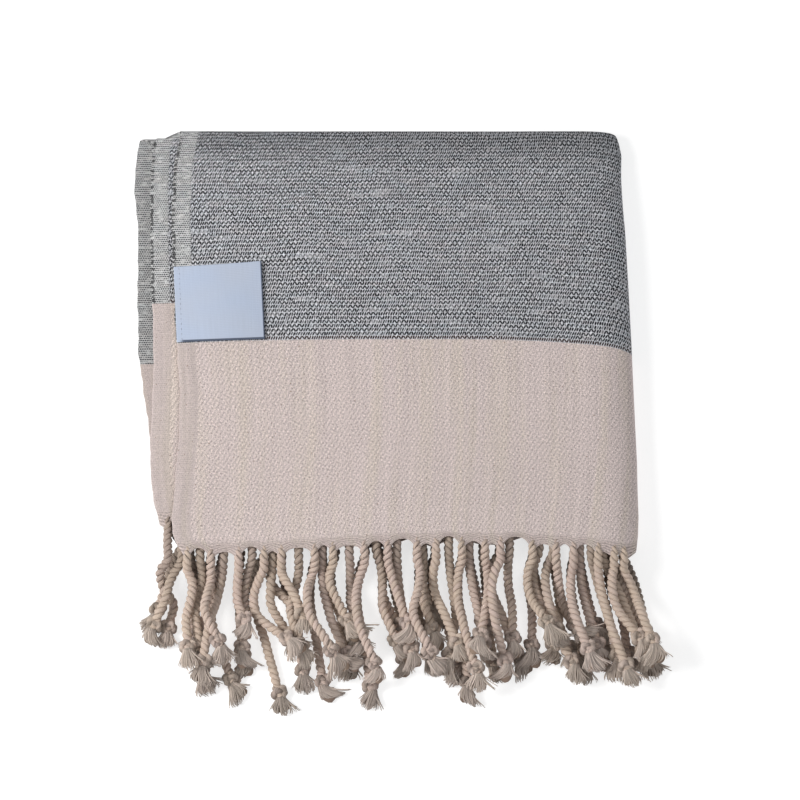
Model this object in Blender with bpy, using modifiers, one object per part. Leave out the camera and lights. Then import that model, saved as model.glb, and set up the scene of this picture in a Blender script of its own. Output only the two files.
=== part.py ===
"""A hand-size hammam towel, folded into a pack of eight layers that lies flat.

The cloth is folded in four along its length and then in two across its width, with that last
fold at the right, so its selvedges lie at the left and its fringed ends at the front. The warp
ends are twisted into knotted strands, which fall from the front of the pack onto each other and
onto the surface. A small bare label is sewn onto the top layer.

Sizes are in millimetres. X runs along the fringed front from left to right, Y from the front to
the back, Z up. Levels count the layers of one half of the pack from the outside, 0, to its
middle, 3: the upper half has layers 1 to 4 from the top, and the lower half 8 to 5.
"""

import math

import bmesh
import bpy
import numpy as np

MM = 0.001

# Cloth
CLOTH_THICKNESS = 1.2
LAYER_PITCH = 2.6  # between the middles of neighbouring layers
BACK_PITCH = 1.35  # the same at the far side of the back folds, which press the layers flat
MIDDLE_PITCH = 2.2  # between the two halves of the pack
INNER_LEVEL = 3
CREAM_BAND = 114.0

# The folds along the length: where their bends start, and how far they reach past that
BACK_FOLD, BACK_REACH, INNER_REACH = 226.0, 5.0, 0.7
FRONT_FOLD, FRONT_REACH = 12.0, 3.0
SECOND_END = 18.0  # the other fringed end lies this far behind the first
TAPER_START, TAPER_POWER = 150.0, 2.4  # where the pack grows thinner towards the back, and how
ROWS_AT = (6.0, 18.0, 38.0, 70.0, 110.0, 146.0, 166.0, 182.0, 196.0, 208.0, 218.0)
ROW_CLEARANCE = 2.0
UPPER_COLUMNS, TURN_COLUMNS, LOWER_COLUMNS = 12, 8, 6

# The fold across the width, at the right
TURN_REACH = 20.0
UNDER_REACH = 10.0
HALF_TURN = 25.0  # about half the length of the outermost turn
HALF_WIDTH = 225.0  # about the width of one half of the cloth

# Strands under the layers lift the front of the pack
STRAND_LIFT = 1.4
LIFT_LENGTH = 60.0

WAVES = (  # height, length along X and along Y, and phase
    (0.30, 210.0, 340.0, 0.4),
    (0.22, -150.0, 260.0, 2.1),
    (0.14, 95.0, -170.0, 4.0),
)

# Left edges: distance from the front, then X of the top layer, the second and the lowest one
LEFT_EDGES = np.array([
    (0.0, -101.2, -104.0, -104.0),
    (5.0, -105.6, -105.0, -108.5),
    (12.0, -108.1, -107.0, -112.0),
    (18.0, -108.4, -114.5, -114.5),
    (26.0, -108.1, -117.2, -117.4),
    (48.0, -106.6, -120.1, -120.0),
    (70.0, -105.3, -119.8, -121.2),
    (92.0, -105.6, -119.1, -123.9),
    (120.0, -107.9, -119.3, -127.5),
    (156.0, -109.9, -121.2, -128.6),
    (181.0, -110.7, -121.9, -128.4),
    (206.0, -110.3, -121.9, -128.6),
    (219.0, -108.9, -121.7, -127.8),
    (230.0, -106.6, -119.6, -126.2),
])
HIDDEN_EDGE, HIDDEN_INSET = -116.5, 4.0
THIRD_INSET = 1.5

# Right fold: distance from the front, then the furthest X
RIGHT_FOLD = np.array([
    (-2.0, 126.2),
    (9.0, 127.4),
    (20.0, 127.8),
    (52.0, 127.2),
    (95.0, 125.2),
    (150.0, 122.7),
    (180.0, 121.2),
    (205.0, 119.0),
    (220.0, 118.2),
    (230.0, 115.5),
])

# The weft bows towards the front: left of the middle, right of a line, and under the fold. It
# fades between BOW_FADES and the back
LEFT_BOW, LEFT_BOW_LENGTH = 2.2, 108.0
RIGHT_BOW, RIGHT_BOW_START, RIGHT_BOW_LENGTH = 5.2, 40.0, 85.0
LOWER_BOW, LOWER_BACK_BOW = 7.2, 2.0
BOW_FADES = 120.0

# The fringed edges' own line, which fades into the bow over EDGE_LENGTH: how far its middle lies
# back, how much further forward its two sides are, and how far back the hidden lower half stops
EDGE_MIDDLE, LOWER_EDGE, EDGE_LENGTH = 2.9, 10.0, 110.0
BEND_LENGTH = 35.0  # the cloth passes from the upper line to the lower one over this length
LEFT_DROP, LEFT_DROP_START, LEFT_DROP_LENGTH = 5.1, 30.0, 115.0
RIGHT_DROP, RIGHT_DROP_START, RIGHT_DROP_LENGTH = 5.4, 50.0, 76.0

# Label
LABEL_WIDTH, LABEL_HEIGHT, LABEL_THICKNESS = 45.0, 41.0, 0.7
LABEL_X, LABEL_Y, LABEL_TURN = -85.8, 133.9, math.radians(3)
LABEL_DROP = 20.0  # it is laid onto the cloth from this far above

# Strands: half the width and half the height at each place along them
ROOT = (2.0, 1.5)
STRAND = (2.5, 2.3)
KNOT = (3.6, 2.9)
NECK = (2.4, 1.8)
TUFT = (4.6, 1.6)
TUFT_END = (3.8, 0.9)
RINGS_AT = (0.14, 0.36, 0.62)  # shares of the length from the cloth to the knot
KNOT_HALF_LENGTH, TUFT_WIDEST, TUFT_LENGTH = 4.5, 5.5, 10.5
ROOT_HALF_WIDTH = 1.8
ROOT_LENGTH = 4.0
LIFT_TO_GAP, COVERED_ROOT_LENGTH = 0.4, 10.0  # for roots that lie between two layers
LONGEST_OPEN_ROOT = 12.0
KNOT_SHARE = 0.4  # how far the lowest strands follow their own knots at two thirds

# How strands lie
GAP = 0.3
STRIP_DEPTH = 2.0
STRAND_GAP = 0.35
STEEPEST = 0.8
CLOTH_EDGE_STEP = 1.5
SAMPLES_PER_PIECE = 7
SETTLING_PASSES = 60
SETTLED, MARGIN = 0.0001, 0.01
TUFT_TURN = 0.5  # the most a tuft turns from its strand, in radians
ROOT_SHIFT, KNOT_SHIFT = 1.0, 4.0  # the most that a lower strand's ends differ from an upper one's
EDGE_PLACES = 600

# Strands of the top layer: X at the root, at a third, at two thirds and at the knot, and how
# far the knot lies in front of the cloth. The last two are the same for the lowest layer.
TOP_STRANDS = (
    (-100.5, -98.2, -101.2, -99.9, 48.2, -93.1, 57.1),
    (-88.7, -90.0, -91.3, -84.9, 46.0, -78.3, 61.4),
    (-74.7, -75.5, -75.2, -72.2, 33.1, -72.7, 47.9),
    (-62.0, -67.1, -64.5, -50.7, 43.3, -54.3, 68.4),
    (-53.3, -50.7, -46.2, -43.1, 30.4, -42.6, 60.3),
    (-36.5, -40.0, -38.0, -28.3, 49.8, -32.4, 65.2),
    (-27.3, -28.8, -24.7, -20.1, 34.2, -19.6, 57.6),
    (-11.5, -15.6, -14.0, -6.9, 56.3, -8.4, 67.4),
    (0.3, 3.3, 6.4, 9.9, 35.8, 8.4, 57.6),
    (15.0, 15.6, 13.0, 21.2, 51.4, 20.7, 53.9),
    (24.5, 23.7, 28.8, 34.4, 45.5, 34.4, 54.4),
    (37.5, 35.4, 39.0, 44.1, 59.5, 40.0, 63.0),
    (49.2, 50.7, 49.2, 46.7, 43.3, 53.3, 58.2),
    (56.9, 52.3, 54.3, 58.9, 53.6, 65.0, 58.2),
    (72.9, 70.4, 73.7, 79.3, 36.9, 72.7, 51.7),
    (84.9, 86.4, 89.0, 94.1, 35.8, 83.9, 43.1),
    (93.6, 92.1, 94.6, 100.2, 49.8, 98.2, 51.2),
    (106.0, 108.4, 113.0, 119.1, 57.4, 109.9, 51.2),
    (114.0, 113.0, 117.0, 125.7, 43.3, 121.1, 52.8),
    (119.0, 124.7, 127.8, 132.3, 46.0, 131.8, 60.3),
)
SECOND_STRANDS = (
    (-110.5, -113.5, -107.0, -110.0, 34.0),
    (-103.5, -109.4, -112.0, -117.0, 34.0),
    (-94.1, -93.8, -96.6, -94.1, 46.5),
    (-82.4, -85.4, -89.5, -92.1, 55.0),
    (-68.1, -71.7, -71.1, -72.7, 46.0),
    (-57.6, -58.6, -57.9, -49.7, 39.0),
    (-44.6, -46.2, -48.7, -43.1, 46.0),
    (-32.9, -31.9, -27.8, -21.2, 49.8),
    (-19.1, -18.6, -18.1, -13.5, 40.0),
    (-5.4, -2.3, -2.0, 4.3, 43.3),
    (4.8, 5.9, 8.4, 12.0, 48.0),
    (17.6, 18.1, 18.1, 22.7, 36.9),
    (30.9, 32.9, 34.4, 31.4, 50.5),
    (41.1, 42.6, 45.7, 48.2, 45.5),
    (61.5, 61.0, 63.0, 63.0, 41.2),
    (76.2, 74.7, 83.9, 92.1, 54.0),
    (83.4, 79.3, 81.3, 83.9, 39.0),
    (96.8, 98.2, 101.2, 105.3, 45.5),
    (102.6, 107.4, 111.9, 115.0, 51.0),
    (108.4, 116.1, 122.1, 127.8, 48.2),
)
SHORTER_BY = (8.0, 16.0)  # the strands of the seventh layer, against those of the second


def mix(start, end, share):
    return start + (end - start) * share


def ease(share):
    share = np.clip(share, 0.0, 1.0)
    return share * share * (3.0 - 2.0 * share)


# ---------------------------------------------------------------- the folded cloth


def run(level, start, end):
    """Rows of one flat layer: Y, level, the levels whose left edges it lies between, and how
    far it is from the first to the second. All layers share the places of their rows."""
    low, high = min(start, end) + ROW_CLEARANCE, max(start, end) - ROW_CLEARANCE
    between = [y for y in ROWS_AT if low < y < high]
    places = [start] + (between if end > start else between[::-1])
    return [(y, level, level, level, 0.0) for y in places]


def turn(level_from, level_to, place, reach, steps):
    """Rows round a fold that joins two levels."""
    rows = []
    for i in range(steps):
        angle = math.pi * i / steps
        share = (1 - math.cos(angle)) / 2
        y = place + reach * math.sin(angle)
        rows.append((y, mix(level_from, level_to, share), level_from, level_to, share))
    return rows


def section():
    """The back-and-forth section of the layers from one fringed end to the other, as rows."""
    return np.array(
        run(0, 0.0, BACK_FOLD)
        + turn(0, 3, BACK_FOLD, BACK_REACH, 6)
        + run(3, BACK_FOLD, FRONT_FOLD)
        + turn(3, 2, FRONT_FOLD, -FRONT_REACH, 4)
        + run(2, FRONT_FOLD, BACK_FOLD)
        + turn(2, 1, BACK_FOLD, INNER_REACH, 4)
        + run(1, BACK_FOLD, SECOND_END)
        + [(SECOND_END, 1, 1, 1, 0.0)]
    )


def heights(level, y):
    """Heights of a level in the upper half, of the pack's middle, and in the lower half."""
    taper = np.clip((y - TAPER_START) / (BACK_FOLD + BACK_REACH - TAPER_START), 0.0, 1.0)
    pitch = mix(LAYER_PITCH, BACK_PITCH, taper**TAPER_POWER)
    lift = STRAND_LIFT * ease(1.0 - y / LIFT_LENGTH)
    lower = CLOTH_THICKNESS / 2 + level * pitch + lift * np.clip(level - 1.0, 0.0, 1.0)
    middle = CLOTH_THICKNESS / 2 + INNER_LEVEL * pitch + lift + MIDDLE_PITCH / 2
    upper = middle + MIDDLE_PITCH / 2 + (INNER_LEVEL - level) * pitch
    return upper + lift * np.clip(1.0 - level, 0.0, 1.0), middle, lower


def left_edge(level, y, upper):
    """X of a layer's selvedge; only three of the eight show. The third follows the second, and
    the others stay inside the lowest."""
    column = {(0, True): 1, (1, True): 2, (2, True): 2}.get((round(level), upper), 3)
    edge = float(np.interp(y, LEFT_EDGES[:, 0], LEFT_EDGES[:, column]))
    if column == 3 and round(level):
        return max(HIDDEN_EDGE, edge + HIDDEN_INSET)
    return edge + (THIRD_INSET if round(level) == 2 else 0.0)


def row_edge(row, upper):
    y, _, level_from, level_to, share = row
    return mix(left_edge(level_from, y, upper), left_edge(level_to, y, upper), share)


def bow(x):
    """How far the weft is drawn towards the front on the upper layers."""
    left = LEFT_BOW * (np.minimum(x, 0.0) / LEFT_BOW_LENGTH) ** 2
    right = np.maximum(x - RIGHT_BOW_START, 0.0) / RIGHT_BOW_LENGTH
    return left + RIGHT_BOW * right**2


def front_edge(x):
    """Y of the top layer's fringed edge."""
    left = LEFT_DROP * ease((LEFT_DROP_START - x) / LEFT_DROP_LENGTH)
    right = np.maximum(x - RIGHT_DROP_START, 0.0) / RIGHT_DROP_LENGTH
    return EDGE_MIDDLE - left - RIGHT_DROP * right**2


def row_shift(x, y, across, size):
    """How far back a row lies from its nominal Y, in a layer with a turn of the given size."""
    half = HALF_TURN * size
    along = 2.0 * half * (np.clip(across, 1.0, 2.0) - 1.5)
    along = along + HALF_WIDTH * (across - np.clip(across, 1.0, 2.0))
    bend = ease(0.5 + along / BEND_LENGTH)
    slack = np.clip((BACK_FOLD - y) / (BACK_FOLD - BOW_FADES), 0.0, 1.0)
    bowed = mix(bow(x) * slack, mix(LOWER_BACK_BOW, LOWER_BOW, slack), bend)
    edge = mix(front_edge(x), LOWER_EDGE, bend)
    return mix(-bowed, edge, np.clip(1.0 - y / EDGE_LENGTH, 0.0, 1.0))


def wave(x, y, z):
    """The cloth's gentle unevenness, which grows from nothing at the bottom of the pack."""
    total = sum(
        size * np.sin(2 * math.pi * (x / along_x + y / along_y) + phase)
        for size, along_x, along_y, phase in WAVES
    )
    top = heights(0.0, 120.0)[0]
    return total * (z - CLOTH_THICKNESS / 2) / top


def folded(y, level, edge_upper, edge_lower, across):
    """The cloth's middle surface. Across runs from 0 at the upper selvedge to 1 where the right
    fold starts, 2 where it ends and 3 at the lower selvedge."""
    upper, middle, lower = heights(level, y)
    size = (INNER_LEVEL + 0.5 - level) / (INNER_LEVEL + 0.5)
    start = np.interp(y, RIGHT_FOLD[:, 0], RIGHT_FOLD[:, 1]) - TURN_REACH
    end = start + (TURN_REACH - UNDER_REACH) * size
    angle = math.pi * np.clip(across - 1.0, 0.0, 1.0)
    first_half = angle <= math.pi / 2
    x = np.where(
        first_half,
        start + TURN_REACH * size * np.sin(angle),
        end + UNDER_REACH * size * np.sin(angle),
    )
    z = middle + np.where(first_half, upper - middle, middle - lower) * np.cos(angle)
    x = np.where(across < 1.0, mix(edge_upper, start, across), x)
    x = np.where(across > 2.0, mix(end, edge_lower, across - 2.0), x)
    shifted = y + row_shift(x, y, across, size)
    return x, shifted, z + wave(x, shifted, z)


def make_material(name, colour, roughness):
    material = bpy.data.materials.new(name)
    material.use_nodes = True
    shader = material.node_tree.nodes["Principled BSDF"]
    shader.inputs["Base Color"].default_value = (*colour, 1.0)
    shader.inputs["Roughness"].default_value = roughness
    shader.inputs["Metallic"].default_value = 0.0
    return material


def add_object(name, bm, collection, materials):
    mesh = bpy.data.meshes.new(name)
    bm.to_mesh(mesh)
    bm.free()
    for material in materials:
        mesh.materials.append(material)
    obj = bpy.data.objects.new(name, mesh)
    collection.objects.link(obj)
    return obj


def thicken(obj, thickness):
    solid = obj.modifiers.new("Thickness", "SOLIDIFY")
    solid.thickness = thickness * MM
    solid.offset = 0.0


def make_cloth(collection, grey, cream):
    rows = section()
    edges_upper = np.array([row_edge(row, True) for row in rows])
    edges_lower = np.array([row_edge(row, False) for row in rows])
    across = np.concatenate([
        np.linspace(0.0, 1.0, UPPER_COLUMNS, endpoint=False),
        np.linspace(1.0, 2.0, TURN_COLUMNS, endpoint=False),
        np.linspace(2.0, 3.0, LOWER_COLUMNS),
    ])
    bm = bmesh.new()
    bmesh.ops.create_grid(bm, x_segments=len(across) - 1, y_segments=len(rows) - 1, size=1.0)
    i = np.array([round((v.co.x + 1) / 2 * (len(across) - 1)) for v in bm.verts])
    j = np.array([round((v.co.y + 1) / 2 * (len(rows) - 1)) for v in bm.verts])
    points = folded(rows[j, 0], rows[j, 1], edges_upper[j], edges_lower[j], across[i])
    row_of = dict(zip(bm.verts, j))
    for vert, x, y, z in zip(bm.verts, *points):
        vert.co = (x * MM, y * MM, z * MM)
    for face in bm.faces:
        y, level = rows[[row_of[vert] for vert in face.verts], :2].mean(axis=0)
        end = SECOND_END * level
        face.material_index = int(level < 1.01 and y < CREAM_BAND + end)
    obj = add_object("towel_cloth", bm, collection, (grey, cream))
    thicken(obj, CLOTH_THICKNESS)
    return obj


# ---------------------------------------------------------------- the label


def make_label(collection, cloth, material):
    """A small bare label that lies on the top layer, 0.3 mm above it."""
    bm = bmesh.new()
    bmesh.ops.create_grid(bm, x_segments=4, y_segments=4, size=0.5)
    cos, sin = math.cos(LABEL_TURN), math.sin(LABEL_TURN)
    above = heights(0.0, LABEL_Y)[0] + LABEL_DROP
    for vert in bm.verts:
        x, y = vert.co.x * LABEL_WIDTH, vert.co.y * LABEL_HEIGHT
        turned = (LABEL_X + x * cos - y * sin, LABEL_Y + x * sin + y * cos, above)
        vert.co = [value * MM for value in turned]
    obj = add_object("sewn_label", bm, collection, (material,))
    laid = obj.modifiers.new("On the cloth", "SHRINKWRAP")
    laid.target = cloth
    laid.wrap_method = "PROJECT"
    laid.use_project_z = True
    laid.use_positive_direction = False
    laid.use_negative_direction = True
    laid.offset = (GAP + LABEL_THICKNESS / 2) * MM
    thicken(obj, LABEL_THICKNESS)
    return obj


# ---------------------------------------------------------------- the fringes


class Pile:
    """The strands laid so far, as points with half a width and half a height."""

    def __init__(self):
        self.points = np.empty((0, 5))

    def rest_height(self, samples):
        """How high each sample (x, y, half width, half height) must lie to clear the pile."""
        needed = samples[:, 3].copy()
        if len(self.points):
            laid_x, laid_y, laid_z, laid_width, laid_height = self.points.T
            apart = np.hypot(samples[:, None, 0] - laid_x, samples[:, None, 1] - laid_y)
            reach = samples[:, None, 2] + laid_width + STRAND_GAP
            rise = samples[:, None, 3] + laid_height + STRAND_GAP
            over = laid_z + rise * np.sqrt(np.maximum(1.0 - (apart / reach) ** 2, 0.0))
            needed = np.maximum(needed, np.where(apart < reach, over, 0.0).max(axis=1))
        return needed

    def lay(self, rings, held):
        """Sets the heights of a strand's rings (x, y, z, half width, half height). The first
        ones are held by the cloth; the rest fall until they lie on the pile or the surface."""
        shares = np.tile(np.arange(SAMPLES_PER_PIECE) / SAMPLES_PER_PIECE, len(rings) - 1)
        first = np.repeat(np.arange(len(rings) - 1), SAMPLES_PER_PIECE)
        samples = mix(rings[first], rings[first + 1], shares[:, None])
        samples = np.vstack([samples, rings[-1]])
        first = np.append(first, len(rings) - 2)
        shares = np.append(shares, 1.0)
        needed = self.rest_height(samples[:, [0, 1, 3, 4]])
        lengths = np.hypot(*(rings[1:, :2] - rings[:-1, :2]).T)
        z = rings[:, 2].copy()
        for i in range(held, len(rings)):
            z[i] = max(rings[i, 4], z[i - 1] - STEEPEST * lengths[i - 1])
        for _ in range(SETTLING_PASSES):
            short = needed - mix(z[first], z[first + 1], shares)
            for k in np.nonzero(short > SETTLED)[0]:
                for ring in (first[k], first[k] + 1):
                    if ring >= held:
                        z[ring] = max(z[ring], min(needed[k] + MARGIN, z[ring] + short[k]))
            for i in range(len(rings) - 2, held - 1, -1):
                z[i] = max(z[i], z[i + 1] - STEEPEST * lengths[i])
            for i in range(held, len(rings)):
                z[i] = max(z[i], z[i - 1] - STEEPEST * lengths[i - 1])
        rings[:, 2] = z
        laid = mix(rings[first], rings[first + 1], shares[:, None])
        self.points = np.vstack([self.points, laid])
        return rings


def through(four, share):
    """The cubic through four values at 0, 1/3, 2/3 and 1."""
    a, b, c, d = four
    s = 3.0 * share
    return (
        -a * (s - 1) * (s - 2) * (s - 3) / 6
        + b * s * (s - 2) * (s - 3) / 2
        - c * s * (s - 1) * (s - 3) / 2
        + d * s * (s - 1) * (s - 2) / 6
    )


def strand_rings(root_y, root_z, free_y, free_z, course, down, tuft_turn):
    """Rings of one strand from its root, through where it comes free of the cloth, to the end
    of its frayed tuft. Course holds X at the root, at a third, at two thirds and at the knot."""
    root_x = course[0]
    rings = [(root_x, root_y, root_z, ROOT_HALF_WIDTH, CLOTH_THICKNESS / 2)]
    if root_y - free_y > LONGEST_OPEN_ROOT:
        rising = mix(root_z, free_z, LIFT_TO_GAP)
        rings.append((root_x, root_y - ROOT_LENGTH, rising, *ROOT))
        rings.append((root_x, root_y - COVERED_ROOT_LENGTH, free_z, *STRAND))
        rings.append((root_x, free_y, free_z, *STRAND))
        held = 4
    else:
        rings.append((root_x, free_y, free_z, *ROOT))
        held = 1
    length = free_y + down
    for share in RINGS_AT:
        rings.append((through(course, share), free_y - length * share, 0.0, *STRAND))
    knot = np.array((course[3], -down))
    ahead = knot - np.array(rings[-1][:2])
    ahead /= np.hypot(*ahead)
    neck = knot + KNOT_HALF_LENGTH * ahead
    rings.append((*(knot - KNOT_HALF_LENGTH * ahead), 0.0, *STRAND))
    rings.append((*knot, 0.0, *KNOT))
    rings.append((*neck, 0.0, *NECK))
    cos, sin = math.cos(tuft_turn), math.sin(tuft_turn)
    aside = np.array((ahead[0] * cos - ahead[1] * sin, ahead[0] * sin + ahead[1] * cos))
    rings.append((*(neck + TUFT_WIDEST * aside), 0.0, *TUFT))
    rings.append((*(neck + TUFT_LENGTH * aside), 0.0, *TUFT_END))
    return np.array(rings), held


def ring_corners(rings):
    """The four corners of each ring: below, at the right, above and at the left."""
    way = np.gradient(rings[:, :2], axis=0)
    way /= np.hypot(way[:, 0], way[:, 1])[:, None]
    side = np.stack([-way[:, 1], way[:, 0]], axis=1)
    corners = []
    for (x, y, z, half_width, half_height), across in zip(rings, side):
        right, left = (x, y) + half_width * across, (x, y) - half_width * across
        corners.append([(x, y, z - half_height), (*right, z), (x, y, z + half_height), (*left, z)])
    return corners


def loft(bm, verts, rings):
    """Faces from four vertices through the rings to a closed end."""
    for ring in rings:
        following = [bm.verts.new([value * MM for value in corner]) for corner in ring]
        for a in range(4):
            b = (a + 1) % 4
            bm.faces.new((verts[a], verts[b], following[b], following[a]))
        verts = following
    bm.faces.new(verts)


def edge_frame(level, across):
    """A point on the fringed edge of a run, and the direction of its thickness."""
    y = SECOND_END * level
    edge_upper, edge_lower = left_edge(level, y, True), left_edge(level, y, False)
    step = 0.01
    places = np.array((across - step, across, across + step))
    before, point, after = np.transpose(folded(y, float(level), edge_upper, edge_lower, places))
    x_way, _, z_way = after - before
    normal = np.array((-z_way, 0.0, x_way)) / math.hypot(x_way, z_way)
    return point, normal if normal[2] > 0 else -normal


def across_at(level, upper, x):
    """The place across the cloth where the edge of a run passes a given X."""
    places = np.linspace(0.0 if upper else 3.0, 1.5, EDGE_PLACES)
    y = SECOND_END * level
    edges = left_edge(level, y, True), left_edge(level, y, False)
    xs = folded(y, float(level), *edges, places)[0]
    return float(np.interp(x, xs, places))


def free_height(upper, x, y):
    """The height of a second strand between the layers above and below it, at the front."""
    z = sum(heights(level, 0.0)[0 if upper else 2] for level in (0.0, 2.0)) / 2
    return z + wave(x, y, z)


def make_fringe(name, level, upper, strands, pile, collection, material):
    """A narrow strip along a fringed edge, with the strands that grow out of it."""
    bm = bmesh.new()
    stations = []
    for course, _, _ in strands:
        for side in (-ROOT_HALF_WIDTH, ROOT_HALF_WIDTH):
            stations.append(across_at(level, upper, course[0] + side))
    columns = []
    for place in stations:
        point, normal = edge_frame(level, place)
        half = normal * CLOTH_THICKNESS / 2
        ring = []
        for depth in (GAP + STRIP_DEPTH, GAP):
            front = point - np.array((0.0, depth, 0.0))
            ring.append([bm.verts.new(tuple((front + side) * MM)) for side in (-half, half)])
        columns.append(ring)
    for k, (here, there) in enumerate(zip(columns, columns[1:])):
        (front_low, front_high), (back_low, back_high) = here
        (next_front_low, next_front_high), (next_back_low, next_back_high) = there
        bm.faces.new((front_low, next_front_low, next_back_low, back_low))
        bm.faces.new((front_high, back_high, next_back_high, next_front_high))
        bm.faces.new((back_low, next_back_low, next_back_high, back_high))
        root = (front_low, next_front_low, next_front_high, front_high)
        if k % 2:
            bm.faces.new(root)
            continue
        course, down, tuft_turn = strands[k // 2]
        point, _ = edge_frame(level, across_at(level, upper, course[0]))
        root_y = point[1] - GAP - STRIP_DEPTH
        if level:
            free_y = (front_edge(course[0]) if upper else LOWER_EDGE) - CLOTH_EDGE_STEP
            free_z = free_height(upper, course[0], free_y)
        else:
            free_y = root_y - ROOT_LENGTH
            free_z = point[2] + (0.0 if upper else ROOT[1] - CLOTH_THICKNESS / 2)
        rings, held = strand_rings(root_y, point[2], free_y, free_z, course, down, tuft_turn)
        loft(bm, root, ring_corners(pile.lay(rings, held))[1:])
    for ring in (columns[0], columns[-1]):
        bm.faces.new((ring[0][0], ring[0][1], ring[1][1], ring[1][0]))
    bmesh.ops.recalc_face_normals(bm, faces=bm.faces)
    return add_object(name, bm, collection, (material,))


def make_fringes(collection, material):
    """The four runs of fringe, laid from the lowest to the top one."""
    random = np.random.default_rng(7)
    pile = Pile()
    top, second, seventh, lowest = [], [], [], []
    for root, third, two_thirds, knot, down, low_knot, low_down in TOP_STRANDS:
        course = (root, third, two_thirds, knot)
        top.append((course, down, random.uniform(-TUFT_TURN, TUFT_TURN)))
        shift = random.uniform(-ROOT_SHIFT, ROOT_SHIFT)
        low_root = min(root + shift, TOP_STRANDS[-1][0])
        course = (low_root, third + shift, mix(two_thirds, low_knot, KNOT_SHARE), low_knot)
        lowest.append((course, low_down, random.uniform(-TUFT_TURN, TUFT_TURN)))
    for i, (root, third, two_thirds, knot, down) in enumerate(SECOND_STRANDS):
        course = (root, third, two_thirds, knot)
        second.append((course, down, random.uniform(-TUFT_TURN, TUFT_TURN)))
        if i % 2:
            course = (root, third, two_thirds, knot + random.uniform(-KNOT_SHIFT, KNOT_SHIFT))
            shorter = down - random.uniform(*SHORTER_BY)
            seventh.append((course, shorter, random.uniform(-TUFT_TURN, TUFT_TURN)))
    runs = (
        ("fringe_layer_8", 0, False, lowest),
        ("fringe_layer_7", 1, False, seventh),
        ("fringe_layer_2", 1, True, second),
        ("fringe_layer_1", 0, True, top),
    )
    return [make_fringe(*parts, pile, collection, material) for parts in runs]


# ---------------------------------------------------------------- the whole towel


def centre(objects):
    """Puts the middle of the towel's underside at the origin."""
    bpy.context.view_layer.update()
    graph = bpy.context.evaluated_depsgraph_get()
    points = np.vstack([
        [tuple(vert.co) for vert in obj.evaluated_get(graph).data.vertices] for obj in objects
    ])
    low, high = points.min(axis=0), points.max(axis=0)
    for obj in objects:
        obj.location = (-(low[0] + high[0]) / 2, -(low[1] + high[1]) / 2, 0.0)


def build():
    for obj in list(bpy.data.objects):
        bpy.data.objects.remove(obj)
    collection = bpy.data.collections.new("hammam_towel")
    bpy.context.scene.collection.children.link(collection)
    grey = make_material("grey_weave", (0.27, 0.28, 0.29), 0.95)
    cream = make_material("cream_weave", (0.56, 0.48, 0.43), 0.95)
    strand = make_material("twisted_strand", (0.52, 0.44, 0.36), 0.95)
    satin = make_material("label_satin", (0.60, 0.66, 0.74), 0.6)
    cloth = make_cloth(collection, grey, cream)
    label = make_label(collection, cloth, satin)
    fringes = make_fringes(collection, strand)
    centre([cloth, label, *fringes])


build()
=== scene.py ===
"""A folded hammam towel: its woven sheet, twisted and knotted fringes and bare sewn label.

Shapes repeat the part's own rules and tables, in millimetres, in the towel's own frame: X along
the fringed front, Y from the front to the back, Z up. Levels count the layers of one half of the
pack from the outside, 0, to its middle, 3.
"""

import math

import bpy
import numpy as np
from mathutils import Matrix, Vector


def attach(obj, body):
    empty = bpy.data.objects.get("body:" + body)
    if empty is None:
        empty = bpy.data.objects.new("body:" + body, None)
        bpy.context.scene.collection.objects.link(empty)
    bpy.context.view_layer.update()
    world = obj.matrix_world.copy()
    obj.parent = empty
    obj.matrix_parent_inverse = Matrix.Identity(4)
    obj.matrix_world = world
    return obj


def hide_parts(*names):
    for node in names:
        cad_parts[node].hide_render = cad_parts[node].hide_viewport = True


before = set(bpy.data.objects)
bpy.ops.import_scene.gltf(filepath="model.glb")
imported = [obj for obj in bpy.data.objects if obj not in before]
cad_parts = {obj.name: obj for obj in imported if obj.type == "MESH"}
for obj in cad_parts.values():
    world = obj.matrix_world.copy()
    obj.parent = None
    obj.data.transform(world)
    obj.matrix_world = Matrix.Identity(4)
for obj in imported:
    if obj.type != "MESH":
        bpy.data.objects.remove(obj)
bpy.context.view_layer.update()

MM = 0.001
MIDDLE = np.array((5.537, 74.104, 0.0))  # the part's origin in the towel's own frame

# ---------------------------------------------------------------- the part's own dimensions

CLOTH_THICKNESS = 1.2
LAYER_PITCH, BACK_PITCH, MIDDLE_PITCH = 2.6, 1.35, 2.2
INNER_LEVEL = 3
BACK_FOLD, BACK_REACH, INNER_REACH = 226.0, 5.0, 0.7
FRONT_FOLD, FRONT_REACH = 12.0, 3.0
SECOND_END = 18.0
TAPER_START, TAPER_POWER = 150.0, 2.4
TURN_REACH, UNDER_REACH = 20.0, 10.0
HALF_TURN, HALF_WIDTH = 25.0, 225.0
STRAND_LIFT, LIFT_LENGTH = 1.4, 60.0
WAVES_FULL_AT = 120.0
WAVES = ((0.30, 210.0, 340.0, 0.4), (0.22, -150.0, 260.0, 2.1), (0.14, 95.0, -170.0, 4.0))
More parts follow.
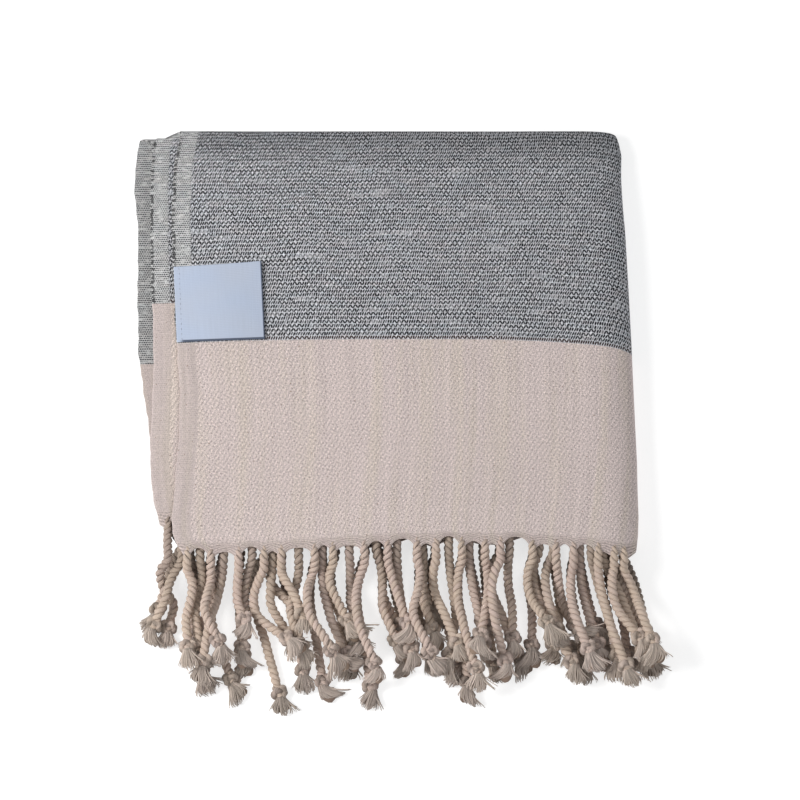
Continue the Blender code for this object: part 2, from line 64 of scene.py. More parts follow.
# Y, and X there of the selvedges of the top layer, of the second and of the lowest
LEFT_EDGES = np.array([
    (0.0, -101.2, -104.0, -104.0),
    (5.0, -105.6, -105.0, -108.5),
    (12.0, -108.1, -107.0, -112.0),
    (18.0, -108.4, -114.5, -114.5),
    (26.0, -108.1, -117.2, -117.4),
    (48.0, -106.6, -120.1, -120.0),
    (70.0, -105.3, -119.8, -121.2),
    (92.0, -105.6, -119.1, -123.9),
    (120.0, -107.9, -119.3, -127.5),
    (156.0, -109.9, -121.2, -128.6),
    (181.0, -110.7, -121.9, -128.4),
    (206.0, -110.3, -121.9, -128.6),
    (219.0, -108.9, -121.7, -127.8),
    (230.0, -106.6, -119.6, -126.2),
])
HIDDEN_EDGE, HIDDEN_INSET = -116.5, 4.0
THIRD_INSET = 1.5
# Y, and X there of the right fold
RIGHT_FOLD = np.array([
    (-2.0, 126.2),
    (9.0, 127.4),
    (20.0, 127.8),
    (52.0, 127.2),
    (95.0, 125.2),
    (150.0, 122.7),
    (180.0, 121.2),
    (205.0, 119.0),
    (220.0, 118.2),
    (230.0, 115.5),
])
LEFT_BOW, LEFT_BOW_LENGTH = 2.2, 108.0
RIGHT_BOW, RIGHT_BOW_START, RIGHT_BOW_LENGTH = 5.2, 40.0, 85.0
LOWER_BOW, LOWER_BACK_BOW = 7.2, 2.0
BOW_FADES = 120.0
EDGE_MIDDLE, LOWER_EDGE, EDGE_LENGTH = 2.9, 10.0, 110.0
BEND_LENGTH = 35.0
LEFT_DROP, LEFT_DROP_START, LEFT_DROP_LENGTH = 5.1, 30.0, 115.0
RIGHT_DROP, RIGHT_DROP_START, RIGHT_DROP_LENGTH = 5.4, 50.0, 76.0
LABEL_WIDTH, LABEL_HEIGHT = 45.0, 41.0
LABEL_X, LABEL_Y, LABEL_TURN = -85.8, 133.9, math.radians(3)

ROOT = (2.0, 1.5)
STRAND = (2.5, 2.3)
KNOT = (3.6, 2.9)
NECK = (2.4, 1.8)
TUFT = (4.6, 1.6)
TUFT_END = (3.8, 0.9)
RINGS_AT = (0.14, 0.36, 0.62)
KNOT_HALF_LENGTH, TUFT_WIDEST, TUFT_LENGTH = 4.5, 5.5, 10.5
ROOT_HALF_WIDTH = 1.8
ROOT_LENGTH = 4.0
LIFT_TO_GAP, COVERED_ROOT_LENGTH = 0.4, 10.0
LONGEST_OPEN_ROOT = 12.0
KNOT_SHARE = 0.4
GAP = 0.3
STRIP_DEPTH = 2.0
STRAND_GAP = 0.35
STEEPEST = 0.8
CLOTH_EDGE_STEP = 1.5
SAMPLES_PER_PIECE = 7
SETTLING_PASSES = 60
SETTLED, MARGIN = 0.0001, 0.01
TUFT_TURN = 0.5
ROOT_SHIFT, KNOT_SHIFT = 1.0, 4.0
EDGE_PLACES = 600
# X at the root, a third and two thirds of the way and the knot, and how far forward the knot
# lies. Then the knot's X and place again, for the strand below in the lowest run
TOP_STRANDS = (
    (-100.5, -98.2, -101.2, -99.9, 48.2, -93.1, 57.1),
    (-88.7, -90.0, -91.3, -84.9, 46.0, -78.3, 61.4),
    (-74.7, -75.5, -75.2, -72.2, 33.1, -72.7, 47.9),
    (-62.0, -67.1, -64.5, -50.7, 43.3, -54.3, 68.4),
    (-53.3, -50.7, -46.2, -43.1, 30.4, -42.6, 60.3),
    (-36.5, -40.0, -38.0, -28.3, 49.8, -32.4, 65.2),
    (-27.3, -28.8, -24.7, -20.1, 34.2, -19.6, 57.6),
    (-11.5, -15.6, -14.0, -6.9, 56.3, -8.4, 67.4),
    (0.3, 3.3, 6.4, 9.9, 35.8, 8.4, 57.6),
    (15.0, 15.6, 13.0, 21.2, 51.4, 20.7, 53.9),
    (24.5, 23.7, 28.8, 34.4, 45.5, 34.4, 54.4),
    (37.5, 35.4, 39.0, 44.1, 59.5, 40.0, 63.0),
    (49.2, 50.7, 49.2, 46.7, 43.3, 53.3, 58.2),
    (56.9, 52.3, 54.3, 58.9, 53.6, 65.0, 58.2),
    (72.9, 70.4, 73.7, 79.3, 36.9, 72.7, 51.7),
    (84.9, 86.4, 89.0, 94.1, 35.8, 83.9, 43.1),
    (93.6, 92.1, 94.6, 100.2, 49.8, 98.2, 51.2),
    (106.0, 108.4, 113.0, 119.1, 57.4, 109.9, 51.2),
    (114.0, 113.0, 117.0, 125.7, 43.3, 121.1, 52.8),
    (119.0, 124.7, 127.8, 132.3, 46.0, 131.8, 60.3),
)
SECOND_STRANDS = (
    (-110.5, -113.5, -107.0, -110.0, 34.0),
    (-103.5, -109.4, -112.0, -117.0, 34.0),
    (-94.1, -93.8, -96.6, -94.1, 46.5),
    (-82.4, -85.4, -89.5, -92.1, 55.0),
    (-68.1, -71.7, -71.1, -72.7, 46.0),
    (-57.6, -58.6, -57.9, -49.7, 39.0),
    (-44.6, -46.2, -48.7, -43.1, 46.0),
    (-32.9, -31.9, -27.8, -21.2, 49.8),
    (-19.1, -18.6, -18.1, -13.5, 40.0),
    (-5.4, -2.3, -2.0, 4.3, 43.3),
    (4.8, 5.9, 8.4, 12.0, 48.0),
    (17.6, 18.1, 18.1, 22.7, 36.9),
    (30.9, 32.9, 34.4, 31.4, 50.5),
    (41.1, 42.6, 45.7, 48.2, 45.5),
    (61.5, 61.0, 63.0, 63.0, 41.2),
    (76.2, 74.7, 83.9, 92.1, 54.0),
    (83.4, 79.3, 81.3, 83.9, 39.0),
    (96.8, 98.2, 101.2, 105.3, 45.5),
    (102.6, 107.4, 111.9, 115.0, 51.0),
    (108.4, 116.1, 122.1, 127.8, 48.2),
)
SHORTER_BY = (8.0, 16.0)

# ---------------------------------------------------------------- what only the scene adds

# Where the rows and columns of the fine sheet lie, as distances from an edge
RIM = (0.0, 0.08, 0.25, 0.6)
FRONT_ROWS = RIM + (1.0, 1.5, 2.1, 2.8, 3.6, 4.5, 5.5, 7.0, 8.5, 10.0, 12.0)
FINE_ROW, HIDDEN_ROW, SECOND_ROW = 4.0, 9.0, 6.0
OUTER_TURN, FRONT_TURN, INNER_TURN = 12, 8, 6  # rows round each kind of fold
UPPER_COLUMNS, FOLD_COLUMNS, LOWER_COLUMNS = 190, 17, 20
UPPER_WIDTH, FLAT_WIDTH = 222.0, 500.0  # of the layers above the right fold, and of the sheet

EDGE_HOLDS = 3.0  # how long a selvedge keeps its place round the back fold
WOBBLES = ((0.22, 1.9, 1.0), (0.18, 4.3, 2.0))  # a selvedge's unevenness: size, length, phase
UPPER_PHASE, LOWER_PHASE = 1.3, 4.0
# Places from front to back, and how far right of the part's the right fold and the lowest
# selvedge lie there
RIGHT_TRIM = (0.0, 35.0, 75.0, 120.0, 190.0, 210.0, 226.0), (-1.4, -1.4, -0.8, 0.0, 0.4, 1.2, 2.6)
LEFT_TRIM = (180.0, 210.0), (0.0, -2.6)
# How much sooner than the part's each strand of the lowest run ends
LOWEST_TRIM = (0, 0, 0, 0, 4, 3, 8, 3, 8, 6, 0, 0, 6, 10, 8, 0, 0, 5, 5, 12)

# The fringed edge: drawn forward in a funnel at each strand, and back in an arch between two
ROOT_PULL = 0.3
FUNNEL, FUNNEL_RISE, FUNNEL_WIDTH = 2.8, 1.0, 3.0
ARCH_SHARE, DEEPEST_ARCH = 0.27, 3.6
ARCH_VARIES, ARCH_CYCLE = 0.45, 2.4
ARCH_FADE, FADE_POWER = 4.5, 1.5

# The weave
WARP_STEP, WEFT_STEP = 2.39, 2.1
SELVEDGE_WIDTH = 9.4
SELVEDGE_WARP, SELVEDGE_WEFT = 1.2, 1.1
CREAM_BAND, SECOND_CREAM_BAND = 114.0, 118.5
HEADER_DEPTH, HEADER_LINE = 6.5, 1.4
LEAN_COS, LEAN_SIN = 0.87, 0.5  # strokes of the twill lean by 30 degrees
GLOSS = 0.25  # of every finish

# Twisted strands. A pair for a sway or a swell is its size and its length
PLY_KIND, FIBRE_KIND, KNOT_KIND, SHADED_CORE_KIND = range(4)  # in the order of the fringe's finishes
ROOT_START = 4.5  # how far back in the cloth a strand starts to form
ROOT_LIFT = 0.7  # how far a strand's middle lies above the cloth's, where it leaves it
STRAND_SCALES = (0.4, 0.86, 0.97, 1.0, 1.0, 0.9)  # from inside the cloth to the knot and neck
LEFT_TWISTED = 0.38  # share of the strands that are twisted the other way
TWIST_PITCH, TWIST_VARIES = 6.5, 0.25
SLOW_SWAY, QUICK_SWAY = (0.6, 7.0), (0.35, 2.9)
PLY_ORBIT, ORBIT_HEIGHT = 1.20, 0.92
PLY_RADIUS, PLY_DEEP, PLY_WIDE = 1.36, 0.95, 1.05
PLY_SWELL = (0.04, 1.7)
PLY_TONE = 0.03
PLY_SIDES, PLY_STEP = 8, 0.6

KNOT_WIDE, KNOT_HIGH, KNOT_LONG, KNOT_PLY = 1.02, 0.68, 1.80, 1.52
KNOT_BROAD, KNOT_FLAT = 1.18, 0.88
KNOT_TILT, KNOT_SIZE = (0.9, 1.45), (0.94, 1.10)
KNOT_PITCH, KNOT_STEPS, KNOT_SIDES = 2.6, 60, 12
KNOT_CORE, CORE_RINGS, CORE_CAP = 2.2, 7, 1.05

# Frayed ends: how far they open, reach, bend and lean, and the shape of their soft body
FRAY_SPREAD, FRAY_REACH = (0.70, 1.15), (0.66, 0.90)
FRAY_BEND, FRAY_SKEW = 0.8, 0.3
FRAY_OVERLAP, FRAY_START, FRAY_END, FRAY_SAG = 2.2, 2.1, 1.75, 0.6
FRAY_OPENS, FRAY_OPEN_POWER = 1.15, 0.8
FRAY_ROUND, FRAY_THIN = 0.45, 0.55
BODY_LENGTH, BODY_CLOSES = 0.80, 0.81
BODY_WIDTH, BODY_HEIGHT = 0.93, 0.85
BODY_RINGS, BODY_SIDES = 9, 18
# Their fibres
FIBRES, LOOSE_FIBRES, FIBRE_RINGS, FIBRE_SIDES = 64, 10, 8, 3
FIBRE_LENGTH, OUTER_SHORTER = (0.84, 1.06), 0.30
FIBRE_DRIFT, FIBRE_CURL, FIBRE_STRAY = 0.10, 0.06, 0.7
FIBRE_LIFT, FIBRE_THICK, FIBRE_TAPER = (0.86, 1.08), (0.26, 0.46), 0.5
FIBRE_TONE = 0.1
# Shade: the light on knots and frayed ends of a run that no light reaches, and how far along a
# strand its plies are lit in full and still shaded in full
LEAST_LIT_END, SHADE_ENDS = 0.6, (62.0, 24.0)

# The label and its seam
LABEL_SHEAR = 1.2  # how much longer the label's right side is
LABEL_HALF_THICKNESS = 0.28
LABEL_RIM, LABEL_INNER = (0.0, 0.1, 0.3), 0.8
LABEL_COLUMNS, LABEL_ROWS = 44, 40
LABEL_LIFT, LABEL_RISE, CORNER_RISE = 0.45, 0.75, 1.1
EDGE_RIPPLE, LABEL_CREASE = 0.18, 0.12
STITCHES, STITCH_RINGS, STITCH_SIDES = 15, 7, 6
SEAM_INSET, SEAM_SWAY, SWAY_STEP = 2.6, 0.05, 3.1
STITCH_HALF, STITCH_RADIUS, STITCH_CAP = 0.95, 0.20, 1.02
STITCH_LIFT, STITCH_ARCH, STITCH_DIP = 0.42, 0.36, 0.98

# The studio
ELEVATION, CAMERA_DISTANCE, FRAME_WIDTH = math.radians(71.0), 3.0, 0.408
CAMERA_TARGET = (6.409, 86.301, 4.22)
FLOOR_HALF, FLOOR_LEVEL = 3.0, -0.00005
FLOOR_GLOW = 0.66  # as paper lit from below, so that the shadows between strands stay light
STUDIO_LIGHT = 1.03  # how bright the lights make a white surface that faces up


def mix(start, end, share):
    return start + (end - start) * share


def ease(share):
    share = np.clip(share, 0.0, 1.0)
    return share * share * (3.0 - 2.0 * share)


def unit(vectors):
    return vectors / np.maximum(np.linalg.norm(vectors, axis=-1, keepdims=True), 1e-12)


# ---------------------------------------------------------------- the folded cloth


def turn(level_from, level_to, place, reach, steps):
    """Rows round a fold that joins two levels: Y, level, both levels and the share of the way."""
    rows = []
    for i in range(steps):
        angle = math.pi * i / steps
        share = (1 - math.cos(angle)) / 2
        y = place + reach * math.sin(angle)
        rows.append((y, mix(level_from, level_to, share), level_from, level_to, share))
    return rows


def run(level, places):
    """Rows of one flat layer at the given places."""
    return [(y, level, level, level, 0.0) for y in places]


def sheet_rows():
    """The rows of the whole sheet, from its first fringed end to the other one."""
    last_front = FRONT_ROWS[-1]
    hidden = np.arange(BACK_FOLD, FRONT_FOLD, -HIDDEN_ROW)
    return np.array(
        run(0, FRONT_ROWS)
        + run(0, np.arange(last_front + FINE_ROW, BACK_FOLD - FINE_ROW / 2, FINE_ROW))
        + turn(0, 3, BACK_FOLD, BACK_REACH, OUTER_TURN)
        + run(3, hidden)
        + turn(3, 2, FRONT_FOLD, -FRONT_REACH, FRONT_TURN)
        + run(2, hidden[::-1])
        + turn(2, 1, BACK_FOLD, INNER_REACH, INNER_TURN)
        + run(1, np.arange(BACK_FOLD, SECOND_END + last_front + SECOND_ROW / 2, -SECOND_ROW))
        + run(1, [SECOND_END + y for y in FRONT_ROWS[::-1]])
    )


def heights(level, y):
    """Heights of a level in the upper half, of the pack's middle, and in the lower half."""
    taper = np.clip((y - TAPER_START) / (BACK_FOLD + BACK_REACH - TAPER_START), 0.0, 1.0)
    pitch = mix(LAYER_PITCH, BACK_PITCH, taper**TAPER_POWER)
    lift = STRAND_LIFT * ease(1.0 - y / LIFT_LENGTH)
    lower = CLOTH_THICKNESS / 2 + level * pitch + lift * np.clip(level - 1.0, 0.0, 1.0)
    middle = CLOTH_THICKNESS / 2 + INNER_LEVEL * pitch + lift + MIDDLE_PITCH / 2
    upper = middle + MIDDLE_PITCH / 2 + (INNER_LEVEL - level) * pitch
    return upper + lift * np.clip(1.0 - level, 0.0, 1.0), middle, lower


def left_edge(level, y, upper):
    """X of a layer's selvedge. Only three of the eight show. The third follows the second, and
    the others stay inside the lowest."""
    column = {(0, True): 1, (1, True): 2, (2, True): 2}.get((round(level), upper), 3)
    edge = float(np.interp(y, LEFT_EDGES[:, 0], LEFT_EDGES[:, column]))
    if column == 3 and round(level):
        return max(HIDDEN_EDGE, edge + HIDDEN_INSET)
    return edge + (THIRD_INSET if round(level) == 2 else 0.0)


def row_edge(row, upper):
    """X of a row's selvedge, which moves to the next layer's round a fold."""
    y, _, level_from, level_to, share = row
    return mix(left_edge(level_from, y, upper), left_edge(level_to, y, upper), share**EDGE_HOLDS)


def bow(x):
    """How far the weft is drawn towards the front on the upper layers."""
    left = LEFT_BOW * (np.minimum(x, 0.0) / LEFT_BOW_LENGTH) ** 2
    right = np.maximum(x - RIGHT_BOW_START, 0.0) / RIGHT_BOW_LENGTH
    return left + RIGHT_BOW * right**2


def front_edge(x):
    """Y of the top layer's fringed edge."""
    left = LEFT_DROP * ease((LEFT_DROP_START - x) / LEFT_DROP_LENGTH)
    right = np.maximum(x - RIGHT_DROP_START, 0.0) / RIGHT_DROP_LENGTH
    return EDGE_MIDDLE - left - RIGHT_DROP * right**2


def row_shift(x, y, across, size):
    """How far back a row lies from its nominal Y, in a layer with a turn of the given size."""
    half = HALF_TURN * size
    along = 2.0 * half * (np.clip(across, 1.0, 2.0) - 1.5)
    along = along + HALF_WIDTH * (across - np.clip(across, 1.0, 2.0))
    bend = ease(0.5 + along / BEND_LENGTH)
    slack = np.clip((BACK_FOLD - y) / (BACK_FOLD - BOW_FADES), 0.0, 1.0)
    bowed = mix(bow(x) * slack, mix(LOWER_BACK_BOW, LOWER_BOW, slack), bend)
    edge = mix(front_edge(x), LOWER_EDGE, bend)
    return mix(-bowed, edge, np.clip(1.0 - y / EDGE_LENGTH, 0.0, 1.0))


def wave(x, y, z):
    """The cloth's gentle unevenness, which grows from nothing at the bottom of the pack to its
    full size at the top."""
    total = sum(
        size * np.sin(2 * math.pi * (x / along_x + y / along_y) + phase)
        for size, along_x, along_y, phase in WAVES
    )
    top = heights(0.0, WAVES_FULL_AT)[0]
    return total * (z - CLOTH_THICKNESS / 2) / top


def folded(y, level, edge_upper, edge_lower, across, fold_level=None):
    """The cloth's middle surface. Across runs from 0 at the upper selvedge to 1 where the right
    fold starts, 2 where it ends and 3 at the lower selvedge. The right fold may have the size
    of another level than the row's own."""
    upper, middle, lower = heights(level, y)
    fold_level = level if fold_level is None else fold_level
    size = (INNER_LEVEL + 0.5 - fold_level) / (INNER_LEVEL + 0.5)
    start = np.interp(y, RIGHT_FOLD[:, 0], RIGHT_FOLD[:, 1]) - TURN_REACH
    end = start + (TURN_REACH - UNDER_REACH) * size
    angle = math.pi * np.clip(across - 1.0, 0.0, 1.0)
    first_half = angle <= math.pi / 2
    x = np.where(
        first_half,
        start + TURN_REACH * size * np.sin(angle),
        end + UNDER_REACH * size * np.sin(angle),
    )
    z = middle + np.where(first_half, upper - middle, middle - lower) * np.cos(angle)
    x = np.where(across < 1.0, mix(edge_upper, start, across), x)
    x = np.where(across > 2.0, mix(end, edge_lower, across - 2.0), x)
    shifted = y + row_shift(x, y, across, size)
    return x, shifted, z + wave(x, shifted, z)


def edge_wobble(y, phase):
    """Small unevenness of a selvedge."""
    return sum(size * np.sin(y / length + times * phase) for size, length, times in WOBBLES)


def fringe_pull(x, roots):
    """How far the fringed edge is drawn forward at X, and how near the next strand is."""
    roots = np.sort(np.asarray(roots))
    after = np.clip(np.searchsorted(roots, x), 1, len(roots) - 1)
    left, right = roots[after - 1], roots[after]
    share = np.clip((x - left) / (right - left), 0.0, 1.0)
    arch = np.sqrt(np.maximum(1.0 - (2.0 * share - 1.0) ** 2, 0.0))
    depth = np.minimum(ARCH_SHARE * (right - left), DEEPEST_ARCH)
    depth = depth * (1.0 + ARCH_VARIES * np.sin(ARCH_CYCLE * after))
    nearest = np.minimum(np.abs(x - left), np.abs(x - right))
    near = np.exp(-((nearest / FUNNEL_WIDTH) ** 2))
    return mix(ROOT_PULL, -depth, arch) + FUNNEL * near, near


def rounded(depth, rim):
    """The share of its full thickness that a sheet has at distances from its rounded edge."""
    return np.sqrt(1.0 - (1.0 - np.clip(depth / rim, 0.0, 1.0)) ** 2)


def closed_sheet(points, half_thickness):
    """Top and bottom grids round a middle surface, which meet at its borders, as one mesh."""
    along = np.gradient(points, axis=0)
    across = np.gradient(points, axis=1)
    normal = unit(np.cross(across, along))
    rows, columns = points.shape[:2]
    upper = points + normal * half_thickness[..., None]
    lower = points - normal * half_thickness[..., None]
    index = np.arange(rows * columns).reshape(rows, columns)
    under = index + rows * columns
    for border in (np.s_[0, :], np.s_[-1, :], np.s_[:, 0], np.s_[:, -1]):
        under[border] = index[border]
    faces = [
        np.stack([g[:-1, :-1], g[:-1, 1:], g[1:, 1:], g[1:, :-1]], axis=-1).reshape(-1, 4)
        for g in (index, under)
    ]
    faces[1] = faces[1][:, ::-1]
    return np.vstack([upper.reshape(-1, 3), lower.reshape(-1, 3)]), np.vstack(faces)


def add_object(name, data):
    """An object in the scene, from a mesh, a camera or a light."""
    obj = bpy.data.objects.new(name, data)
    bpy.context.scene.collection.objects.link(obj)
    return obj


def make_mesh(name, points, faces, corner_maps, materials, face_materials=None):
    """An object from points in the towel's own frame. Corner maps are named pairs of numbers
    for each corner of each face, in the order of the faces."""
    used, flat = np.unique(np.concatenate([np.ravel(f) for f in faces]), return_inverse=True)
    sizes = [len(f) for f in faces]
    mesh = bpy.data.meshes.new(name)
    mesh.vertices.add(len(used))
    mesh.vertices.foreach_set("co", ((points[used] - MIDDLE) * MM).astype(np.float32).ravel())
    mesh.loops.add(len(flat))
    mesh.loops.foreach_set("vertex_index", flat.astype(np.int32))
    mesh.polygons.add(len(faces))
    starts = np.concatenate([[0], np.cumsum(sizes)[:-1]]).astype(np.int32)
    mesh.polygons.foreach_set("loop_start", starts)
    mesh.update(calc_edges=True)
    mesh.polygons.foreach_set("use_smooth", np.ones(len(faces), bool))
    for map_name, values in corner_maps:
        layer = mesh.uv_layers.new(name=map_name)
        layer.data.foreach_set("uv", np.asarray(values, np.float32).ravel())
    for material in materials:
        mesh.materials.append(material)
    if face_materials is not None:
        mesh.polygons.foreach_set("material_index", np.asarray(face_materials, np.int32))
    mesh.validate()
    return add_object(name, mesh)


def make_flat_piece(name, points, half_thickness, across, along, material):
    """A closed sheet, with a corner map of its places on the flat cloth in metres."""
    vertices, faces = closed_sheet(points, half_thickness)
    flat = np.stack([across, along], axis=-1).reshape(-1, 2)
    flat = np.vstack([flat, flat]) * MM
    return make_mesh(name, vertices, faces, [("flat", flat[faces.ravel()])], [material])


def make_cloth(roots):
    """The sheet. Roots holds the places of the strands on each of its four fringed runs."""
    rows = sheet_rows()
    y, level = rows[:, 0], rows[:, 1]
    between_turns = np.abs(level - np.round(level)) < 0.01
    edge_upper = np.array([row_edge(row, True) for row in rows])
    edge_lower = np.array([row_edge(row, False) for row in rows])
    edge_upper += between_turns * edge_wobble(y, UPPER_PHASE * level)
    edge_lower += between_turns * edge_wobble(y, LOWER_PHASE) + np.interp(y, *LEFT_TRIM)
    rim = np.array(RIM) / UPPER_WIDTH
    across = np.concatenate([
        rim,
        np.linspace(0.0, 1.0, UPPER_COLUMNS)[1:-1],
        np.linspace(1.0, 2.0, FOLD_COLUMNS),
        np.linspace(2.0, 3.0, LOWER_COLUMNS)[1:-1],
        3.0 - rim[::-1],
    ])
    fold_level = mix(rows[:, 2], rows[:, 3], rows[:, 4] ** EDGE_HOLDS)
    each_row = (v[:, None] for v in (y, level, edge_upper, edge_lower, fold_level))
    y_row, level_row, upper_row, lower_row, fold_row = each_row
    x, place, z = folded(y_row, level_row, upper_row, lower_row, across, fold_row)
    trim = np.interp(y, *RIGHT_TRIM)[:, None]
    x = x + trim * np.minimum(np.minimum(across, 3.0 - across), 1.0)
    points = np.stack([x, place, z], axis=-1)
    # distances on the flat cloth: wide from the upper selvedge, long from the first end
    steps = np.linalg.norm(np.diff(points[..., [0, 2]], axis=1), axis=2)
    wide = np.concatenate([np.zeros((len(y), 1)), np.cumsum(steps, axis=1)], axis=1)
    wide *= FLAT_WIDTH / wide[:, -1:]
    column = len(rim) + UPPER_COLUMNS // 2
    climb = np.hypot(np.diff(y), np.diff(points[:, column, 2]))
    long = np.concatenate([[0.0], np.cumsum(climb)])
    from_end = np.minimum(long, long[-1] - long)
    # the fringed edges
    first_end = long < long[-1] / 2
    upper, lower = across <= 1.5, across > 1.5
    for run_name, end, half in (
        ("top", first_end, upper),
        ("lowest", first_end, lower),
        ("second", ~first_end, upper),
        ("seventh", ~first_end, lower),
    ):
        block = np.ix_(end, half)
        pull, near = fringe_pull(x[block], roots[run_name])
        fade = np.exp(-((from_end[end] / ARCH_FADE) ** FADE_POWER))[:, None]
        points[block + (1,)] -= pull * fade
        points[block + (2,)] += FUNNEL_RISE * near * fade
    depth = np.minimum(from_end[:, None], np.minimum(wide, FLAT_WIDTH - wide))
    half_thickness = rounded(depth, RIM[-1]) * CLOTH_THICKNESS / 2
    long_row = np.broadcast_to(long[:, None], wide.shape)
    material = weave_finish(float(long[-1]))
    return make_flat_piece("towel_sheet", points, half_thickness, wide, long_row, material)


def top_height(x, y):
    """The height of the top layer's upper side."""
    z = heights(0.0, y + bow(x))[0]
    return z + wave(x, y, z) + CLOTH_THICKNESS / 2


# ---------------------------------------------------------------- how the strands lie


class Pile:
    """The strands laid so far, as points with half a width and half a height."""

    def __init__(self):
        self.points = np.empty((0, 5))

    def rest_height(self, samples):
        """How high each sample (x, y, half width, half height) must lie to clear the pile."""
        needed = samples[:, 3].copy()
        if len(self.points):
            laid_x, laid_y, laid_z, laid_width, laid_height = self.points.T
            apart = np.hypot(samples[:, None, 0] - laid_x, samples[:, None, 1] - laid_y)
            reach = samples[:, None, 2] + laid_width + STRAND_GAP
            rise = samples[:, None, 3] + laid_height + STRAND_GAP
            over = laid_z + rise * np.sqrt(np.maximum(1.0 - (apart / reach) ** 2, 0.0))
            needed = np.maximum(needed, np.where(apart < reach, over, 0.0).max(axis=1))
        return needed

    def lay(self, rings, held):
        """Sets the heights of a strand's rings (x, y, z, half width, half height). The first
        ones are held by the cloth, and the rest fall until they lie on the pile or the surface."""
        shares = np.tile(np.arange(SAMPLES_PER_PIECE) / SAMPLES_PER_PIECE, len(rings) - 1)
        first = np.repeat(np.arange(len(rings) - 1), SAMPLES_PER_PIECE)
        samples = mix(rings[first], rings[first + 1], shares[:, None])
        samples = np.vstack([samples, rings[-1]])
        first = np.append(first, len(rings) - 2)
        shares = np.append(shares, 1.0)
        needed = self.rest_height(samples[:, [0, 1, 3, 4]])
        lengths = np.hypot(*(rings[1:, :2] - rings[:-1, :2]).T)
        z = rings[:, 2].copy()
        for i in range(held, len(rings)):
            z[i] = max(rings[i, 4], z[i - 1] - STEEPEST * lengths[i - 1])
        for _ in range(SETTLING_PASSES):
            short = needed - mix(z[first], z[first + 1], shares)
            for k in np.nonzero(short > SETTLED)[0]:
                for ring in (first[k], first[k] + 1):
                    if ring >= held:
                        z[ring] = max(z[ring], min(needed[k] + MARGIN, z[ring] + short[k]))
            for i in range(len(rings) - 2, held - 1, -1):
                z[i] = max(z[i], z[i + 1] - STEEPEST * lengths[i])
            for i in range(held, len(rings)):
                z[i] = max(z[i], z[i - 1] - STEEPEST * lengths[i - 1])
        rings[:, 2] = z
        laid = mix(rings[first], rings[first + 1], shares[:, None])
        self.points = np.vstack([self.points, laid])
        return rings


def through(four, share):
    """The cubic through four values at 0, 1/3, 2/3 and 1."""
    a, b, c, d = four
    s = 3.0 * share
    return (
        -a * (s - 1) * (s - 2) * (s - 3) / 6
        + b * s * (s - 2) * (s - 3) / 2
        - c * s * (s - 1) * (s - 3) / 2
        + d * s * (s - 1) * (s - 2) / 6
    )


def strand_rings(root_y, root_z, free_y, free_z, course, down, tuft_turn):
    """Rings of one strand from its root, through where it comes free of the cloth, to the end
    of its frayed tuft. Course holds X at the root, at a third, at two thirds and at the knot."""
    root_x = course[0]
    rings = [(root_x, root_y, root_z, ROOT_HALF_WIDTH, CLOTH_THICKNESS / 2)]
    covered = root_y - free_y > LONGEST_OPEN_ROOT
    if covered:
        rising = mix(root_z, free_z, LIFT_TO_GAP)
        rings.append((root_x, root_y - ROOT_LENGTH, rising, *ROOT))
        rings.append((root_x, root_y - COVERED_ROOT_LENGTH, free_z, *STRAND))
    rings.append((root_x, free_y, free_z, *(STRAND if covered else ROOT)))
    held = len(rings) if covered else 1
    length = free_y + down
    for share in RINGS_AT:
        rings.append((through(course, share), free_y - length * share, 0.0, *STRAND))
    knot = np.array((course[3], -down))
    ahead = knot - np.array(rings[-1][:2])
    ahead /= np.hypot(*ahead)
    neck = knot + KNOT_HALF_LENGTH * ahead
    cos, sin = math.cos(tuft_turn), math.sin(tuft_turn)
    aside = np.array((ahead[0] * cos - ahead[1] * sin, ahead[0] * sin + ahead[1] * cos))
    rings += [
        (*(knot - KNOT_HALF_LENGTH * ahead), 0.0, *STRAND),
        (*knot, 0.0, *KNOT),
        (*neck, 0.0, *NECK),
        (*(neck + TUFT_WIDEST * aside), 0.0, *TUFT),
        (*(neck + TUFT_LENGTH * aside), 0.0, *TUFT_END),
    ]
    return np.array(rings), held


def edge_point(level, upper, x):
    """The point of the cloth's middle surface on a fringed edge, at a given X."""
    places = np.linspace(0.0 if upper else 3.0, 1.5, EDGE_PLACES)
    y = SECOND_END * level
    edges = left_edge(level, y, True), left_edge(level, y, False)
    across = float(np.interp(x, folded(y, float(level), *edges, places)[0], places))
    return np.array(folded(y, float(level), *edges, np.array(across)))


def free_height(upper, x, y):
    """The height of a second strand between the layers above and below it, at the front."""
    z = sum(heights(level, 0.0)[0 if upper else 2] for level in (0.0, 2.0)) / 2
    return z + wave(x, y, z)


def lay_fringe(level, upper, strands, pile):
    """The rings of each strand of one run, with the cloth's edge where it grows out."""
    laid = []
    for course, down, tuft_turn in strands:
        edge = edge_point(level, upper, course[0])
        root_y = edge[1] - GAP - STRIP_DEPTH
        if level:
            free_y = (front_edge(course[0]) if upper else LOWER_EDGE) - CLOTH_EDGE_STEP
            free_z = free_height(upper, course[0], free_y)
        else:
            free_y = root_y - ROOT_LENGTH
            free_z = edge[2] + (0.0 if upper else ROOT[1] - CLOTH_THICKNESS / 2)
        rings, held = strand_rings(root_y, edge[2], free_y, free_z, course, down, tuft_turn)
        laid.append((edge, pile.lay(rings, held)))
    return laid


